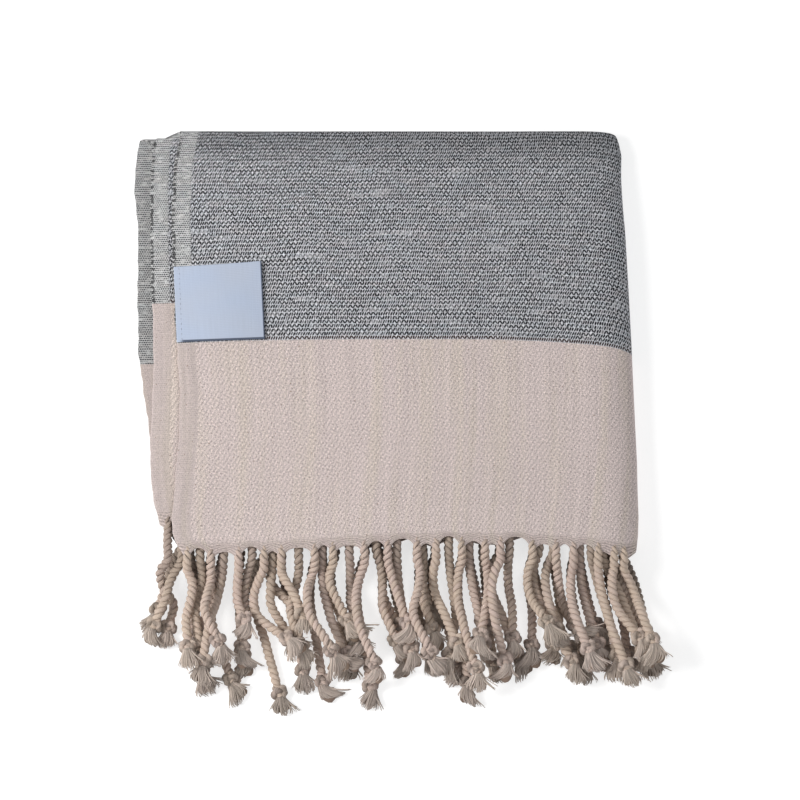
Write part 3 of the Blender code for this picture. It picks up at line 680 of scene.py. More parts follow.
def lay_fringes():
    """The four runs of fringe, laid from the lowest to the top one, by name."""
    random = np.random.default_rng(7)
    pile = Pile()
    top, second, seventh, lowest = [], [], [], []
    for (*course, down, low_knot, low_down), trim in zip(TOP_STRANDS, LOWEST_TRIM):
        top.append((course, down, random.uniform(-TUFT_TURN, TUFT_TURN)))
        root, third, two_thirds, _ = course
        shift = random.uniform(-ROOT_SHIFT, ROOT_SHIFT)
        low_root = min(root + shift, TOP_STRANDS[-1][0])
        course = (low_root, third + shift, mix(two_thirds, low_knot, KNOT_SHARE), low_knot)
        lowest.append((course, low_down - trim, random.uniform(-TUFT_TURN, TUFT_TURN)))
    for i, (*course, down) in enumerate(SECOND_STRANDS):
        second.append((course, down, random.uniform(-TUFT_TURN, TUFT_TURN)))
        if i % 2:
            course = (*course[:3], course[3] + random.uniform(-KNOT_SHIFT, KNOT_SHIFT))
            shorter = down - random.uniform(*SHORTER_BY)
            seventh.append((course, shorter, random.uniform(-TUFT_TURN, TUFT_TURN)))
    return {
        "lowest": lay_fringe(0, False, lowest, pile),
        "seventh": lay_fringe(1, False, seventh, pile),
        "second": lay_fringe(1, True, second, pile),
        "top": lay_fringe(0, True, top, pile),
    }


# ---------------------------------------------------------------- twisted strands


def distance_along(line):
    """The length of a line from its start to each of its points."""
    return np.concatenate([[0], np.cumsum(np.linalg.norm(np.diff(line, axis=0), axis=1))])


def square_to(vectors, way):
    """Vectors turned square to a way, at each point."""
    return unit(vectors - (vectors * way).sum(axis=1, keepdims=True) * way)


def side_and_up(way):
    """The level direction and the upper one that are square to a way that runs roughly level."""
    side = unit(np.stack([way[..., 1], -way[..., 0], 0.0 * way[..., 0]], axis=-1))
    return side, np.cross(side, way)


def frames(line):
    """Side and up at each point of a line."""
    return side_and_up(unit(np.gradient(line, axis=0)))


class Yarn:
    """Collects tubes into the points, faces and corner maps of one mesh. Lit is how much light
    reaches its plies near the cloth."""

    def __init__(self, lit=1.0):
        self.lit = lit
        self.points, self.faces, self.around, self.kinds = [], [], [], []
        self.count = 0

    def tube(self, line, radius, side, up, sides, kind, tone, length=None):
        """A closed tube round a line. Radius holds one or two numbers for each point. Its first
        corner map holds the share of the way round and the length, its second the tone and
        the light."""
        angles = 2 * math.pi * np.arange(sides) / sides
        radius = np.broadcast_to(np.reshape(radius, (len(line), -1)), (len(line), 2))
        ring = (
            line[:, None]
            + (radius[:, :1] * np.cos(angles))[..., None] * side[:, None]
            + (radius[:, 1:] * np.sin(angles))[..., None] * up[:, None]
        )
        length = distance_along(line) if length is None else length
        start = self.count
        self.points.append(ring.reshape(-1, 3))
        self.count += len(line) * sides
        for i in range(len(line) - 1):
            a, b = start + i * sides, start + (i + 1) * sides
            here, there = length[i], length[i + 1]
            for j in range(sides):
                k = (j + 1) % sides
                self.faces.append((a + j, a + k, b + k, b + j))
                u, v = j / sides, (j + 1) / sides
                self.around.append(((u, here), (v, here), (v, there), (u, there)))
                self.kinds.append((kind, tone))
        for i, order in ((0, -1), (len(line) - 1, 1)):
            a = start + i * sides
            self.faces.append(tuple(range(a, a + sides))[::order])
            self.around.append(tuple((j / sides, length[i]) for j in range(sides)))
            self.kinds.append((kind, tone))

    def piece(self, name, materials):
        """The object that the tubes make."""
        around = np.array([corner for face in self.around for corner in face])
        around[:, 1] *= MM
        lit_end = mix(LEAST_LIT_END, 1.0, self.lit)
        tones = np.array([
            (tone, self.lit if kind == PLY_KIND else lit_end)
            for face, (kind, tone) in zip(self.faces, self.kinds)
            for _ in face
        ])
        maps = [("round", around), ("tone", tones)]
        kinds = [kind for kind, _ in self.kinds]
        return make_mesh(name, np.vstack(self.points), self.faces, maps, materials, kinds)


def smooth_line(knots, step):
    """A curve through points, with its places evenly spaced, and the share of the way between
    the given points that each of its own lies at."""
    before, after = 2 * knots[0] - knots[1], 2 * knots[-1] - knots[-2]
    padded = np.vstack([before, knots, after])
    line, place = [], []
    for i in range(len(knots) - 1):
        p0, p1, p2, p3 = padded[i : i + 4]
        pieces = max(int(np.linalg.norm(p2 - p1) / step), 2)
        t = (np.arange(pieces) / pieces)[:, None]
        line.append(
            p1
            + 0.5 * t * (p2 - p0)
            + t**2 * (p0 - 2.5 * p1 + 2 * p2 - 0.5 * p3)
            + t**3 * (1.5 * (p1 - p2) + 0.5 * (p3 - p0))
        )
        place.append(i + t[:, 0])
    line.append(knots[-1:])
    place.append([len(knots) - 1.0])
    return np.vstack(line), np.concatenate(place)


def twist_plies(yarn, line, scale, twist, phase, tone, random):
    """Two plies wound round a line."""
    side, up = frames(line)
    length = distance_along(line)
    uneven = SLOW_SWAY[0] * np.sin(length / SLOW_SWAY[1] + random.uniform(0, 6))
    uneven += QUICK_SWAY[0] * np.sin(length / QUICK_SWAY[1])
    turned = phase + twist * (2 * math.pi * length / TWIST_PITCH + TWIST_VARIES * uneven)
    for ply in (0.0, math.pi):
        angle = (turned + ply)[:, None]
        orbit = PLY_ORBIT * scale[:, None]
        centre = line + orbit * (np.cos(angle) * side + ORBIT_HEIGHT * np.sin(angle) * up)
        way = unit(np.gradient(centre, axis=0))
        outward = square_to(unit(np.cos(angle) * side + np.sin(angle) * up), way)
        across = np.cross(way, outward)
        thick = PLY_RADIUS * scale * (1.0 + PLY_SWELL[0] * np.sin(length / PLY_SWELL[1] + ply))
        radius = np.stack([PLY_DEEP * thick, PLY_WIDE * thick], axis=1)
        ply_tone = tone + PLY_TONE * ply
        yarn.tube(centre, radius, outward, across, PLY_SIDES, PLY_KIND, ply_tone, length)


def tie_knot(yarn, centre, way, twist, tone, random):
    """The strand tied over itself and pulled tight: a closed overhand loop on a soft core."""
    side, up = side_and_up(way)
    tilt = random.uniform(*KNOT_TILT)
    rising = math.cos(tilt) * way + math.sin(tilt) * up
    ahead = math.sin(tilt) * way - math.cos(tilt) * up
    t = np.linspace(0.0, 2 * math.pi, KNOT_STEPS, endpoint=False) + random.uniform(0, 6.3)
    size = random.uniform(*KNOT_SIZE)
    loop_x, loop_y = np.sin(t) + 2 * np.sin(2 * t), np.cos(t) - 2 * np.cos(2 * t)
    line = (
        centre
        + (KNOT_WIDE * size * loop_x)[:, None] * side
        + (KNOT_HIGH * size * loop_y)[:, None] * rising
        + (twist * KNOT_LONG * size * np.sin(3 * t))[:, None] * ahead
    )
    line = np.vstack([line, line[:1]])
    line[:, 2] = np.maximum(line[:, 2], KNOT_PLY)
    ply_way = unit(np.gradient(line, axis=0))
    ply_way[[0, -1]] = unit(line[1] - line[-2])
    out = square_to(unit(line - centre), ply_way)
    above = np.cross(out, ply_way)
    length = distance_along(line)
    turns = round(length[-1] / KNOT_PITCH)
    swing = (twist * math.pi * turns * length / length[-1])[:, None]
    outward = np.cos(swing) * out + np.sin(swing) * above
    across = np.cross(ply_way, outward)
    thick = np.tile((KNOT_BROAD * KNOT_PLY, KNOT_FLAT * KNOT_PLY), (len(line), 1))
    yarn.tube(line, thick, outward, across, KNOT_SIDES, KNOT_KIND, tone, length)
    share = np.linspace(-1.0, 1.0, CORE_RINGS)
    core = centre + (KNOT_CORE * share)[:, None] * way
    core[:, 2] = np.maximum(core[:, 2], KNOT_CORE)
    radius = KNOT_CORE * np.sqrt(CORE_CAP - share**2)
    yarn.tube(core, radius, *frames(core), KNOT_SIDES, KNOT_KIND, tone)


def fray(yarn, neck, way, tone, random):
    """A frayed end: a soft body in a darker finish that is painted shade, with its yarns combed out
    over it and a few that stray.
    """
    way = unit(way)
    side, up = side_and_up(way)
    spread = random.uniform(*FRAY_SPREAD)
    reach = TUFT_LENGTH * random.uniform(*FRAY_REACH)
    bend = random.uniform(-FRAY_BEND, FRAY_BEND)
    skew = random.uniform(-FRAY_SKEW, FRAY_SKEW)

    def body(share):
        """Middle, half width and half height of the body at shares of its length."""
        turned = bend * share
        forward = mix(-FRAY_OVERLAP, reach, share)
        middle = neck + forward[:, None] * (np.cos(turned)[:, None] * way)
        middle = middle + (forward * np.sin(turned))[:, None] * side
        opened = ease(FRAY_OPENS * share) ** FRAY_OPEN_POWER
        width = mix(FRAY_START, math.sin(spread) * reach, opened)
        width = width * np.sqrt(1.0 - FRAY_ROUND * share**5)
        height = mix(FRAY_START, FRAY_END, share) * np.sqrt(1.0 - FRAY_THIN * share**4)
        middle[:, 2] = np.maximum(middle[:, 2] - FRAY_SAG * share, height)
        return middle, width, height

    share = np.linspace(0.0, BODY_LENGTH, BODY_RINGS)
    middle, width, height = body(share)
    closing = np.sqrt(1.0 - (share / BODY_CLOSES) ** 5)
    radius = np.stack([BODY_WIDTH * width * closing, BODY_HEIGHT * height * closing], axis=1)
    # the body takes the darker tuft core finish: painted shade in the gaps between the fibres
    yarn.tube(middle, radius, *frames(middle), BODY_SIDES, SHADED_CORE_KIND, tone)
    share = np.linspace(0.0, 1.0, FIBRE_RINGS)
    for i in range(FIBRES):
        place = 2.0 * (i + random.uniform(0.0, 1.0)) / FIBRES - 1.0
        length = random.uniform(*FIBRE_LENGTH) - OUTER_SHORTER * place * place + skew * place * 0.5
        middle, width, height = body(share * length)
        across = place + random.uniform(-FIBRE_DRIFT, FIBRE_DRIFT) * share
        across = across + FIBRE_CURL * np.sin(5.0 * share + 9.0 * place)
        over = 1.0 if i % 4 else -1.0
        lifted = over * np.sqrt(np.maximum(1.0 - across * across, 0.0)) * random.uniform(*FIBRE_LIFT)
        if i < LOOSE_FIBRES:
            across = across + random.uniform(-FIBRE_STRAY, FIBRE_STRAY) * share**2
            lifted = lifted + random.uniform(0.0, FIBRE_STRAY) * share
        line = middle + (width * across)[:, None] * side + (height * lifted)[:, None] * up
        thick = random.uniform(*FIBRE_THICK)
        line[:, 2] = np.maximum(line[:, 2], thick)
        radius = thick * (1.0 - FIBRE_TAPER * share**3)
        own_tone = tone + random.uniform(-FIBRE_TONE, FIBRE_TONE)
        yarn.tube(line, radius, *frames(line), FIBRE_SIDES, FIBRE_KIND, own_tone)


def make_fringe(name, laid, materials, seed, lit):
    """One run of fringe: plies, knots and frayed ends along the strands as they lie."""
    random = np.random.default_rng(seed)
    yarn = Yarn(lit)
    for edge, rings in laid:
        tone = random.uniform(0.0, 1.0)
        twist = -1.0 if random.random() < LEFT_TWISTED else 1.0
        knot = len(rings) - 4
        inside = edge + np.array((0.0, ROOT_START, 0.0))
        leaving = edge + np.array((0.0, 0.0, ROOT_LIFT))
        line, place = smooth_line(np.vstack([inside, leaving, rings[: knot + 2, :3]]), PLY_STEP)
        scale = np.interp(place, (0.0, 1.0, 2.0, 3.0, knot + 2, knot + 3), STRAND_SCALES)
        line[:, 2] = np.maximum(line[:, 2], STRAND[1] * scale)
        twist_plies(yarn, line, scale, twist, random.uniform(0, 6.3), tone, random)
        centre, neck, widest = rings[knot : knot + 3, :3]
        tie_knot(yarn, centre, unit(neck - rings[knot - 1, :3]), twist, tone, random)
        fray(yarn, neck, widest - neck, tone, random)
    return yarn.piece(name, materials)


# ---------------------------------------------------------------- the label


def label_place(x, y):
    """Where a point of the label lies on the towel, from its distances to the label's middle."""
    cos, sin = math.cos(LABEL_TURN), math.sin(LABEL_TURN)
    return LABEL_X + x * cos - y * sin, LABEL_Y + x * sin + y * cos


def label_lift(u, v):
    """How far the label lies over the cloth: more to its right, and most at its far corner."""
    rise = u / LABEL_WIDTH
    lift = LABEL_LIFT + LABEL_RISE * rise**1.6 + EDGE_RIPPLE * np.sin(v / 9.0 + 0.8) * rise
    lift += CORNER_RISE * rise**3 * (v / LABEL_HEIGHT) ** 2
    return lift + LABEL_CREASE * np.sin(u / 6.5) * np.exp(-(((v - 33.0) / 9.0) ** 2))


def make_label(material):
    """A small bare label with soft edges, sewn down at its left side and a little raised at
    its right."""
    rim = np.array(LABEL_RIM)
    places = [
        np.concatenate([rim, np.linspace(LABEL_INNER, size - LABEL_INNER, count), size - rim[::-1]])
        for size, count in ((LABEL_WIDTH, LABEL_COLUMNS), (LABEL_HEIGHT, LABEL_ROWS))
    ]
    u, v = np.meshgrid(*places)
    x, y = label_place(u - LABEL_WIDTH / 2, v - LABEL_HEIGHT / 2)
    y = y - LABEL_SHEAR * u / LABEL_WIDTH * (1.0 - v / LABEL_HEIGHT)
    points = np.stack([x, y, top_height(x, y) + label_lift(u, v)], axis=-1)
    depth = np.minimum(np.minimum(u, LABEL_WIDTH - u), np.minimum(v, LABEL_HEIGHT - v))
    half_thickness = LABEL_HALF_THICKNESS * rounded(depth, rim[-1])
    return make_flat_piece("bare_label", points, half_thickness, u, v, material)


def make_stitches(material):
    """The seam that holds the label, near its left edge."""
    yarn = Yarn()
    share = np.linspace(-1.0, 1.0, STITCH_RINGS)
    for i in range(STITCHES):
        place = LABEL_HEIGHT * ((i + 0.5) / STITCHES - 0.5)
        inset = SEAM_INSET - LABEL_WIDTH / 2 + SEAM_SWAY * math.sin(SWAY_STEP * i)
        x, y = label_place(inset, place + STITCH_HALF * share)
        z = top_height(x, y) + STITCH_LIFT + STITCH_ARCH * np.sqrt(1.0 - STITCH_DIP * share**2)
        line = np.stack([x, y, z], axis=1)
        radius = STITCH_RADIUS * np.sqrt(STITCH_CAP - share**2)
        yarn.tube(line, radius, *frames(line), STITCH_SIDES, PLY_KIND, 0.5)
    return yarn.piece("label_stitches", [material])


# ---------------------------------------------------------------- finishes


def colour(red, green, blue):
    """The base colour of a finish that is to look like this under the studio's lights, given
    from 0 to 255 as on a screen."""
    return tuple(((c / 255 + 0.055) / 1.055) ** 2.4 / STUDIO_LIGHT for c in (red, green, blue))


# Tones come in pairs where a finish drifts from one to the other
GREY_WARP = colour(191, 197, 204), colour(202, 198, 201)
GREY_WEFT, LAST_WEFT = colour(33, 35, 38), colour(56, 42, 40)
SELVEDGE_WARP_TONES = colour(187, 190, 191), colour(192, 189, 188)
SELVEDGE_WEFT_TONE, SELVEDGE_TURN = colour(48, 50, 54), colour(24, 25, 28)
CREAM_WARP = colour(204, 190, 187), colour(203, 190, 182)
CREAM_FLECK = colour(130, 106, 88)
HEADER_WARP = colour(199, 184, 180), colour(198, 186, 176)
HEADER_LOOP = colour(72, 58, 52)
RIBBON, RIBBON_EDGE_LINE = (colour(180, 193, 216), colour(186, 194, 210)), colour(34, 46, 68)
SEAM_THREAD = colour(176, 184, 200)
FLOOR_PAPER = (0.50, 0.50, 0.50)
MIX_INPUTS, MIX_OUTPUT = (6, 7), 2  # the sockets of a Mix node that are for colours


def maths(operation, *values):
    """A Math node. At least one of the values is a Shade, and the others may be numbers."""
    recipe = next(value.recipe for value in values if isinstance(value, Shade))
    return recipe.node("ShaderNodeMath", {"operation": operation}, dict(enumerate(values)))


def operator(operation, reflected=False):
    """A method for one of Python's operators, which adds a Math node."""

    def apply(shade, other):
        return maths(operation, *((other, shade) if reflected else (shade, other)))

    return apply


class Shade:
    """A value, vector or colour among a material's nodes. Operators on values add Math nodes."""

    def __init__(self, recipe, output):
        self.recipe, self.output = recipe, output

    def __abs__(self):
        return maths("ABSOLUTE", self)

    __add__, __radd__ = operator("ADD"), operator("ADD", reflected=True)
    __sub__, __rsub__ = operator("SUBTRACT"), operator("SUBTRACT", reflected=True)
    __mul__, __rmul__ = operator("MULTIPLY"), operator("MULTIPLY", reflected=True)
    __truediv__ = operator("DIVIDE")
    __mod__ = operator("FLOORED_MODULO")


class Recipe:
    """One material and the nodes that make it."""

    def __init__(self, name):
        self.material = bpy.data.materials.new(name)
        self.material.use_nodes = True
        self.tree = self.material.node_tree
        self.shader = self.tree.nodes["Principled BSDF"]

    def node(self, kind, settings, inputs, output=0):
        """Adds a node. Settings are set first, then the values or links of its sockets."""
        made = self.tree.nodes.new(kind)
        for name, value in settings.items():
            setattr(made, name, value)
        for name, value in inputs.items():
            self.feed(made.inputs[name], value)
        return Shade(self, made.outputs[output])

    def feed(self, socket, value):
        """Gives a socket a link, or a value that stays the same."""
        if isinstance(value, Shade):
            self.tree.links.new(value.output, socket)
        else:
            socket.default_value = value

    def corner_map(self, name):
        """The two numbers of a corner map."""
        found = self.node("ShaderNodeUVMap", {"uv_map": name}, {})
        split = self.node("ShaderNodeSeparateXYZ", {}, {"Vector": found}).output.node
        return Shade(self, split.outputs["X"]), Shade(self, split.outputs["Y"])

    def flat_map(self):
        """Distances on the flat piece in millimetres, across and along it."""
        across, along = self.corner_map("flat")
        return across * (1.0 / MM), along * (1.0 / MM)

    def finish(self, base, roughness, height=None, depth=0.0, strength=1.0):
        """Feeds the shader, with a bump where a height is given, and gives the material."""
        self.feed(self.shader.inputs["Base Color"], base)
        self.feed(self.shader.inputs["Roughness"], roughness)
        self.shader.inputs["Specular IOR Level"].default_value = GLOSS
        if height is not None:
            inputs = {"Strength": strength, "Distance": depth * MM, "Height": height}
            self.feed(self.shader.inputs["Normal"], self.node("ShaderNodeBump", {}, inputs))
        return self.material


def smooth(value, low, high):
    """0 to 1 as the value goes from low to high, with soft ends."""
    inputs = {"Value": value, "From Min": min(low, high), "From Max": max(low, high)}
    made = value.recipe.node("ShaderNodeMapRange", {"interpolation_type": "SMOOTHSTEP"}, inputs)
    return 1.0 - made if low > high else made


def noise(x, y, z=0.0, detail=0.0):
    """Noise from 0 to 1 whose grain is one unit."""
    place = x.recipe.node("ShaderNodeCombineXYZ", {}, {"X": x, "Y": y, "Z": z})
    inputs = {"Vector": place, "Scale": 1.0, "Detail": detail}
    return x.recipe.node("ShaderNodeTexNoise", {"noise_dimensions": "3D"}, inputs)


def strokes(across, along, lean, wide, long, seed):
    """Noise drawn out into strokes that lean by 30 degrees, to one side for 1 and to the other
    for -1."""
    place = (across * LEAN_COS + along * (lean * LEAN_SIN)) / wide
    return noise(place, (along * LEAN_COS - across * (lean * LEAN_SIN)) / long, seed)


def ripple(value, pitch):
    """1 at nought and at each further pitch, and -1 between two."""
    return maths("COSINE", value * (2 * math.pi / pitch))


def mixed(share, first, second):
    """One colour where the share is 0 and the other where it is 1."""
    inputs = {"Factor": share}
    for socket, tone in zip(MIX_INPUTS, (first, second)):
        inputs[socket] = tone if isinstance(tone, Shade) else (*tone, 1.0)
    return share.recipe.node("ShaderNodeMix", {"data_type": "RGBA"}, inputs, MIX_OUTPUT)


def scaled(tone, factor):
    """A colour made darker or lighter by a value."""
    inputs = {"Vector": tone, "Scale": factor}
    return factor.recipe.node("ShaderNodeVectorMath", {"operation": "SCALE"}, inputs)


def dark_strokes(across, warp, weft, row, from_band):
    """The dark weft among the grey warp: short strokes that lean to both sides, bold or faint.
    Returns their shapes, how dark they are and where the row beside the cream band lies."""
    beside = weft - row
    shift = 1.5 * noise(across / 30.0, row * 3.7, 1.0) + 0.5 * row
    places = 2.0 * (warp + shift)
    stroke = maths("FLOOR", places)
    place = places - stroke - 0.5
    second = smooth(stroke % 2.0, 0.4, 0.6)
    pairs = smooth(noise(stroke * 0.21, row * 2.47, 5.0), 0.42, 0.58)
    lean = 1.0 - 2.0 * second * pairs
    speck = noise(stroke * 0.93, row * 7.7, 4.0)
    nudge = 0.35 * (noise(stroke * 0.71, row * 5.9, 14.0) - 0.5)
    off = abs(place - 0.95 * lean * (beside + nudge))
    body = smooth(off - 0.18 * speck, 0.40, 0.14)
    body = body * smooth(abs(beside + nudge), 0.58, 0.32)
    slub = noise(across / 20.0, row * 5.3, 2.0, 1.0)
    streak = noise(across / 80.0, row * 3.1, 9.0)
    strength = (0.50 + 0.50 * smooth(slub, 0.26, 0.46)) * (0.62 + 0.76 * streak)
    strength = strength * (0.75 + 1.45 * speck) * (1.0 - 0.42 * second)
    last_row = smooth(from_band, 2.6, 1.9)
    strength = maths("MAXIMUM", strength, last_row)
    return body, body * maths("MINIMUM", strength, 1.0), last_row


def selvedge_marks(across, along, drift, waver):
    """The plain selvedge's dots of dark weft, and its rows."""
    warp = across / SELVEDGE_WARP + 0.5 * waver
    weft = along / SELVEDGE_WEFT + 0.6 * drift + 0.2 * waver
    row = maths("ROUND", weft)
    cell = warp + 0.5 * (row % 2.0)
    place = cell - maths("ROUND", cell)
    beside = weft - row
    dot = maths("SQRT", place * place * 1.5 + beside * beside * 2.2)
    speck = noise(across / 3.4, row * 3.7, 6.0)
    return smooth(dot, 0.72, 0.26) * smooth(speck, 0.10, 0.58), row


def selvedge_tone(across, along, from_edge, tint, grain, marks, row):
    """The grey selvedge, with painted shade that darkens its lower half, and dark turns of the weft
    at its edge.
    """
    row_tone = noise(across / 16.0, row * 5.3, 16.0)
    under = smooth(across, 300.0, 400.0)
    turns = smooth(from_edge, 2.3, 1.2) * (1.0 - 0.85 * under)
    turns = turns * smooth(noise(from_edge / 2.5, along / 1.4, 12.0), 0.44, 0.54)
    # painted shade darkens the lower half
    shade = (1.00 + 0.36 * row_tone + 0.80 * grain) * (1.0 - 0.18 * under)
    light = scaled(mixed(tint, *SELVEDGE_WARP_TONES), shade)
    marked = mixed(marks, light, SELVEDGE_WEFT_TONE)
    return mixed(turns * 0.8, marked, SELVEDGE_TURN)


def header_tone(across, from_end, streaks, grain, threads):
    """Close weft lines at the fringed end, with a few loose dark loops. Returns the lines too."""
    row = maths("ROUND", from_end / HEADER_LINE)
    line = ripple(from_end, HEADER_LINE)
    loops = smooth(noise(across / 2.2, row * 9.1, 50.0), 0.62, 0.70)
    loops = loops * smooth(line, 0.1, -0.6) * smooth(from_end, 4.5, 2.0)
    woven = mixed(streaks, *HEADER_WARP)
    woven = scaled(woven, 0.86 + 0.18 * line + 0.80 * grain + 0.10 * threads)
    return mixed(loops * 0.8, woven, HEADER_LOOP), line


def weave_finish(flat_length):
    """The whole cloth: grey broken twill, cream twill, plain selvedges and header lines."""
    recipe = Recipe("towel_weave")
    across, along = recipe.flat_map()

    def spots(wide, long, seed, detail=0.0):
        """Noise on the flat cloth whose grain has this size."""
        return noise(across / wide, along / long, seed, detail)

    first = smooth(along, flat_length / 2, flat_length / 2 - 1.0)
    from_end = maths("MINIMUM", along, flat_length - along)
    from_edge = maths("MINIMUM", across, FLAT_WIDTH - across)
    from_band = from_end - (CREAM_BAND * first + SECOND_CREAM_BAND * (1.0 - first))
    # threads that don't run quite straight
    drift = spots(26.0, 34.0, 3.0) - 0.5
    waver = spots(5.0, 40.0, 8.0) - 0.5
    bent = (0.9 * drift + 0.2 * waver) * smooth(from_band, 0.0, 25.0)
    warp = across / WARP_STEP + 0.5 * drift
    weft = from_band / WEFT_STEP + 0.45 + bent
    row = maths("ROUND", weft)
    body, marks, last_row = dark_strokes(across, warp, weft, row, from_band)
    # light strokes of the warp between them
    one_way = strokes(across, along, -1, 0.62, 1.9, 70.0)
    other_way = strokes(across, along, 1, 0.62, 1.9, 71.0)
    leaning = smooth(noise(across / 9.0, row * 1.9, 72.0), 0.42, 0.58)
    floats = 2.0 * (one_way * leaning + other_way * (1.0 - leaning)) - 1.0
    grain = spots(0.75, 0.9, 60.0) - 0.5
    # zones
    selvedge = smooth(from_edge, SELVEDGE_WIDTH + 0.9, SELVEDGE_WIDTH - 0.6)
    ragged = 0.7 * (noise(across / 0.8, 0.0, 15.0) - 0.5)
    cream = smooth(from_band + ragged, 0.35, -0.35)
    header = smooth(from_end, HEADER_DEPTH + 1.6, HEADER_DEPTH - 1.4) * cream
    # grey zone, a little darker towards the right fold, and darker round the back one with painted
    # shade
    tint = noise(across / 9.0, row * 2.3, 20.0)
    rightward = smooth(across, 20.0, 215.0)
    level = 1.0 - 0.08 * rightward - 0.30 * smooth(from_end, 205.0, 231.0)
    between = 0.10 * smooth(abs(weft - row), 0.30, 0.50)
    light = mixed(tint, *GREY_WARP)
    light = scaled(light, (0.99 + between + 0.75 * floats + 0.50 * grain) * level)
    grey = mixed(marks, light, mixed(last_row, GREY_WEFT, LAST_WEFT))
    near_marks, near_row = selvedge_marks(across, along, drift, waver)
    near = selvedge_tone(across, along, from_edge, tint, grain, near_marks, near_row)
    grey = mixed(selvedge, grey, near)
    # cream zone
    streaks = spots(8.0, 190.0, 30.0, 2.0) + 0.16 * floats + 0.2 * waver
    streaks = smooth(streaks, 0.40, 0.74)
    threads = spots(1.0, 60.0, 31.0) - 0.5
    bands = spots(4.0, 230.0, 33.0) - 0.5
    wefts = noise(across / 45.0, row * 4.1, 32.0) - 0.5
    ribs = ripple(warp - 0.5 * weft + 0.25 * waver, 1.0)
    points = smooth(spots(0.6, 0.6, 73.0), 0.60, 0.74)
    slanted = strokes(across, along, -1, 0.40, 0.9, 0.0) - 0.5
    twill = (0.10 * ribs + 1.25 * slanted + 0.06 * points) * (1.0 - selvedge)
    shade = 0.96 + twill + 0.20 * threads + 0.06 * wefts + 0.10 * bands + 0.45 * grain
    shade = shade - (0.04 + 0.14 * near_marks) * selvedge
    pale = scaled(mixed(streaks, *CREAM_WARP), shade)
    fleck = smooth(spots(1.1, 1.1, 40.0), 0.785, 0.81)
    pale = mixed(fleck * 0.7, pale, CREAM_FLECK)
    woven, line = header_tone(across, from_end, streaks, grain, threads)
    surface = mixed(cream, grey, mixed(header, pale, woven))
    relief = floats * 0.5 - 0.7 * body
    relief = relief * (1.0 - selvedge) - 0.6 * near_marks * selvedge
    relief = relief * (1.0 - header) + 0.6 * line * header
    return recipe.finish(surface, 0.92, relief, 0.22, 0.55)


def strand_finish(name, pink, sand, painted_groove_shade=None):
    """Cotton of the fringes. Twisted, it has fine yarns along each ply and painted shade
    that darkens the grooves between two plies, and the light that its corner map gives near
    the cloth rises to full further along. Without painted groove shade it is frayed, and each
    yarn has a tone of its own."""
    recipe = Recipe(name)
    around, along = recipe.corner_map("round")
    tone, lit = recipe.corner_map("tone")
    along = along * (1.0 / MM)
    uneven = noise(around * 6.0, along / 2.2, tone * 9.0, 2.0) - 0.5
    patch = noise(along / 11.0, tone * 31.0, 4.0)
    base = mixed(smooth(patch * 0.6 + tone * 0.4, 0.25, 0.75), pink, sand)
    if painted_groove_shade is None:
        each = noise(tone * 57.0, 0.0, 6.0) - 0.5
        return recipe.finish(scaled(base, (1.0 + 1.5 * each + 0.3 * uneven) * lit), 0.95)
    # painted shade: each ply is darker on its side that faces the other ply
    groove_shade_mask = smooth(abs(around - 0.5), 0.34, 0.12)
    yarns = ripple(around * 8.0 + along * 0.16, 1.0)
    lit = 1.0 - (1.0 - lit) * smooth(along, *SHADE_ENDS)
    base = scaled(base, (0.98 + 0.06 * yarns + 0.30 * uneven - painted_groove_shade * groove_shade_mask) * lit)
    return recipe.finish(base, 0.93, yarns * 0.5 + uneven, 0.25, 0.6)


def label_finish():
    """A close satin ribbon with a thin dark line along two of its edges, and painted shade that
    darkens it towards its right.
    """
    recipe = Recipe("label_ribbon")
    across, along = recipe.flat_map()
    ribs = ripple(along, 0.9)
    threads = noise(across / 0.7, along / 16.0, 2.0) - 0.5
    cloudy = noise(across / 16.0, along / 14.0, 5.0)
    # painted shade: darker towards the right
    rightward = smooth(across, 5.0, LABEL_WIDTH)
    shade = 1.0 + 0.07 * threads + 0.02 * ribs - 0.11 * rightward
    base = scaled(mixed(cloudy, *RIBBON), shade)
    # a thin dark line along the bottom and right edges
    edge = maths("MINIMUM", along, LABEL_WIDTH - across + 0.4)
    dark_edge_line = smooth(edge, 1.25, 0.85) * smooth(across, 1.0, 4.0)
    base = mixed(dark_edge_line * 0.85, base, RIBBON_EDGE_LINE)
    return recipe.finish(base, 0.55, ribs * 0.5 + threads, 0.08, 0.5)


def plain_finish(name, tone, roughness):
    """An even finish with a little grain."""
    recipe = Recipe(name)
    where = recipe.node("ShaderNodeTexCoord", {}, {}, "Object")
    grain = recipe.node("ShaderNodeTexNoise", {}, {"Vector": where, "Scale": 900.0})
    return recipe.finish(scaled(tone, 0.96 + 0.08 * grain), roughness)


# ---------------------------------------------------------------- stage


def aim(obj, place, way):
    """Puts a camera or a light at a place, turned to look along a way."""
    obj.location = place
    obj.rotation_mode = "QUATERNION"
    obj.rotation_quaternion = way.to_track_quat("-Z", "Y")


def make_camera():
    """Far above the front, as the photograph was taken."""
    data = bpy.data.cameras.new("camera")
    data.sensor_width = 36.0
    data.lens = data.sensor_width * CAMERA_DISTANCE / FRAME_WIDTH
    data.clip_start, data.clip_end = 0.1, 20.0
    camera = add_object("camera", data)
    target = Vector((np.array(CAMERA_TARGET) - MIDDLE) * MM)
    back = Vector((0.0, -math.cos(ELEVATION), math.sin(ELEVATION)))
    aim(camera, target + back * CAMERA_DISTANCE, -back)
    bpy.context.scene.camera = camera


def add_light(name, place, size, energy, tone):
    """A round soft light that shines on the towel's middle."""
    data = bpy.data.lights.new(name, "AREA")
    data.shape = "DISK"
    data.size, data.energy, data.color = size, energy, tone
    aim(add_object(name, data), place, -Vector(place))


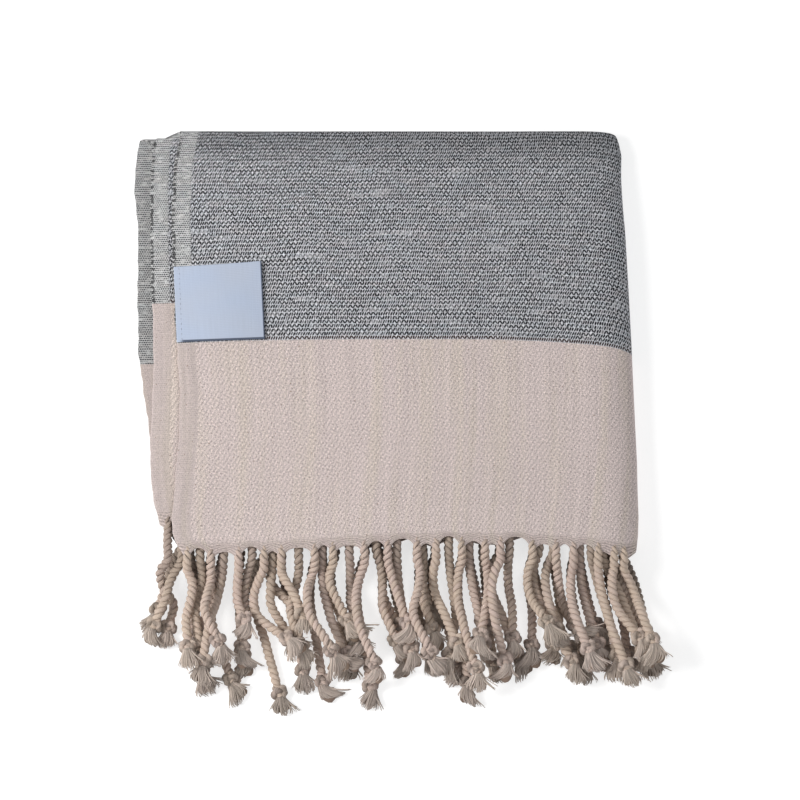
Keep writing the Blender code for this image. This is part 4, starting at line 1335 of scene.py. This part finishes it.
def make_floor():
    """A wide sheet of pale paper just under the towel."""
    mesh = bpy.data.meshes.new("floor")
    corners = [(FLOOR_HALF * x, FLOOR_HALF * y, 0.0) for x, y in ((-1, -1), (1, -1), (1, 1), (-1, 1))]
    mesh.from_pydata(corners, [], [(0, 1, 2, 3)])
    paper = plain_finish("floor_paper", FLOOR_PAPER, 0.9)
    glow = paper.node_tree.nodes["Principled BSDF"].inputs
    glow["Emission Color"].default_value = (1.0, 1.0, 1.0, 1.0)
    glow["Emission Strength"].default_value = FLOOR_GLOW
    mesh.materials.append(paper)
    floor = add_object("floor", mesh)
    floor.location.z = FLOOR_LEVEL
    return floor


def make_studio():
    """A key light from the left, a fill from the front right and an even pale surrounding."""
    world = bpy.data.worlds.new("studio")
    world.use_nodes = True
    background = world.node_tree.nodes["Background"]
    background.inputs["Color"].default_value = (0.96, 0.98, 1.0, 1.0)
    background.inputs["Strength"].default_value = 0.40
    bpy.context.scene.world = world
    add_light("key", (-0.95, -0.15, 0.95), 0.6, 14.2, (1.0, 0.985, 0.965))
    add_light("fill", (0.7, -0.9, 1.8), 1.2, 7.0, (1.0, 0.99, 0.98))
    bpy.context.scene.view_settings.view_transform = "Standard"


# ---------------------------------------------------------------- the whole towel

make_camera()
floor = make_floor()
make_studio()
laid = lay_fringes()
roots = {name: [rings[0, 0] for _, rings in strands] for name, strands in laid.items()}
cloth = make_cloth(roots)
# the last number of a twisted finish is how dark its painted groove shade is
finishes = [
    strand_finish("strand_cotton", colour(203, 183, 173), colour(200, 182, 166), 0.64),
    strand_finish("frayed_cotton", colour(199, 184, 175), colour(197, 183, 171)),
    strand_finish("knotted_cotton", colour(199, 180, 171), colour(196, 180, 166), 0.34),
    # a darker cotton for the tufts' bodies: painted shade between their fibres
    strand_finish("shaded_tuft_core", colour(138, 119, 107), colour(136, 118, 103)),
]
for seed, (run_name, node, lit) in enumerate((
    ("lowest", "fringe_layer_8", 0.40),
    ("seventh", "fringe_layer_7", 0.40),
    ("second", "fringe_layer_2", 0.70),
    ("top", "fringe_layer_1", 1.0),
)):
    piece = make_fringe(f"{run_name}_fringe", laid[run_name], finishes, 20 + seed, lit)
    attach(piece, "root")
    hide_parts(node)
label = make_label(label_finish())
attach(label, "root")
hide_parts("sewn_label")
stitches = make_stitches(plain_finish("seam_thread", SEAM_THREAD, 0.8))
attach(stitches, "root")
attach(cloth, "root")
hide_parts("towel_cloth")
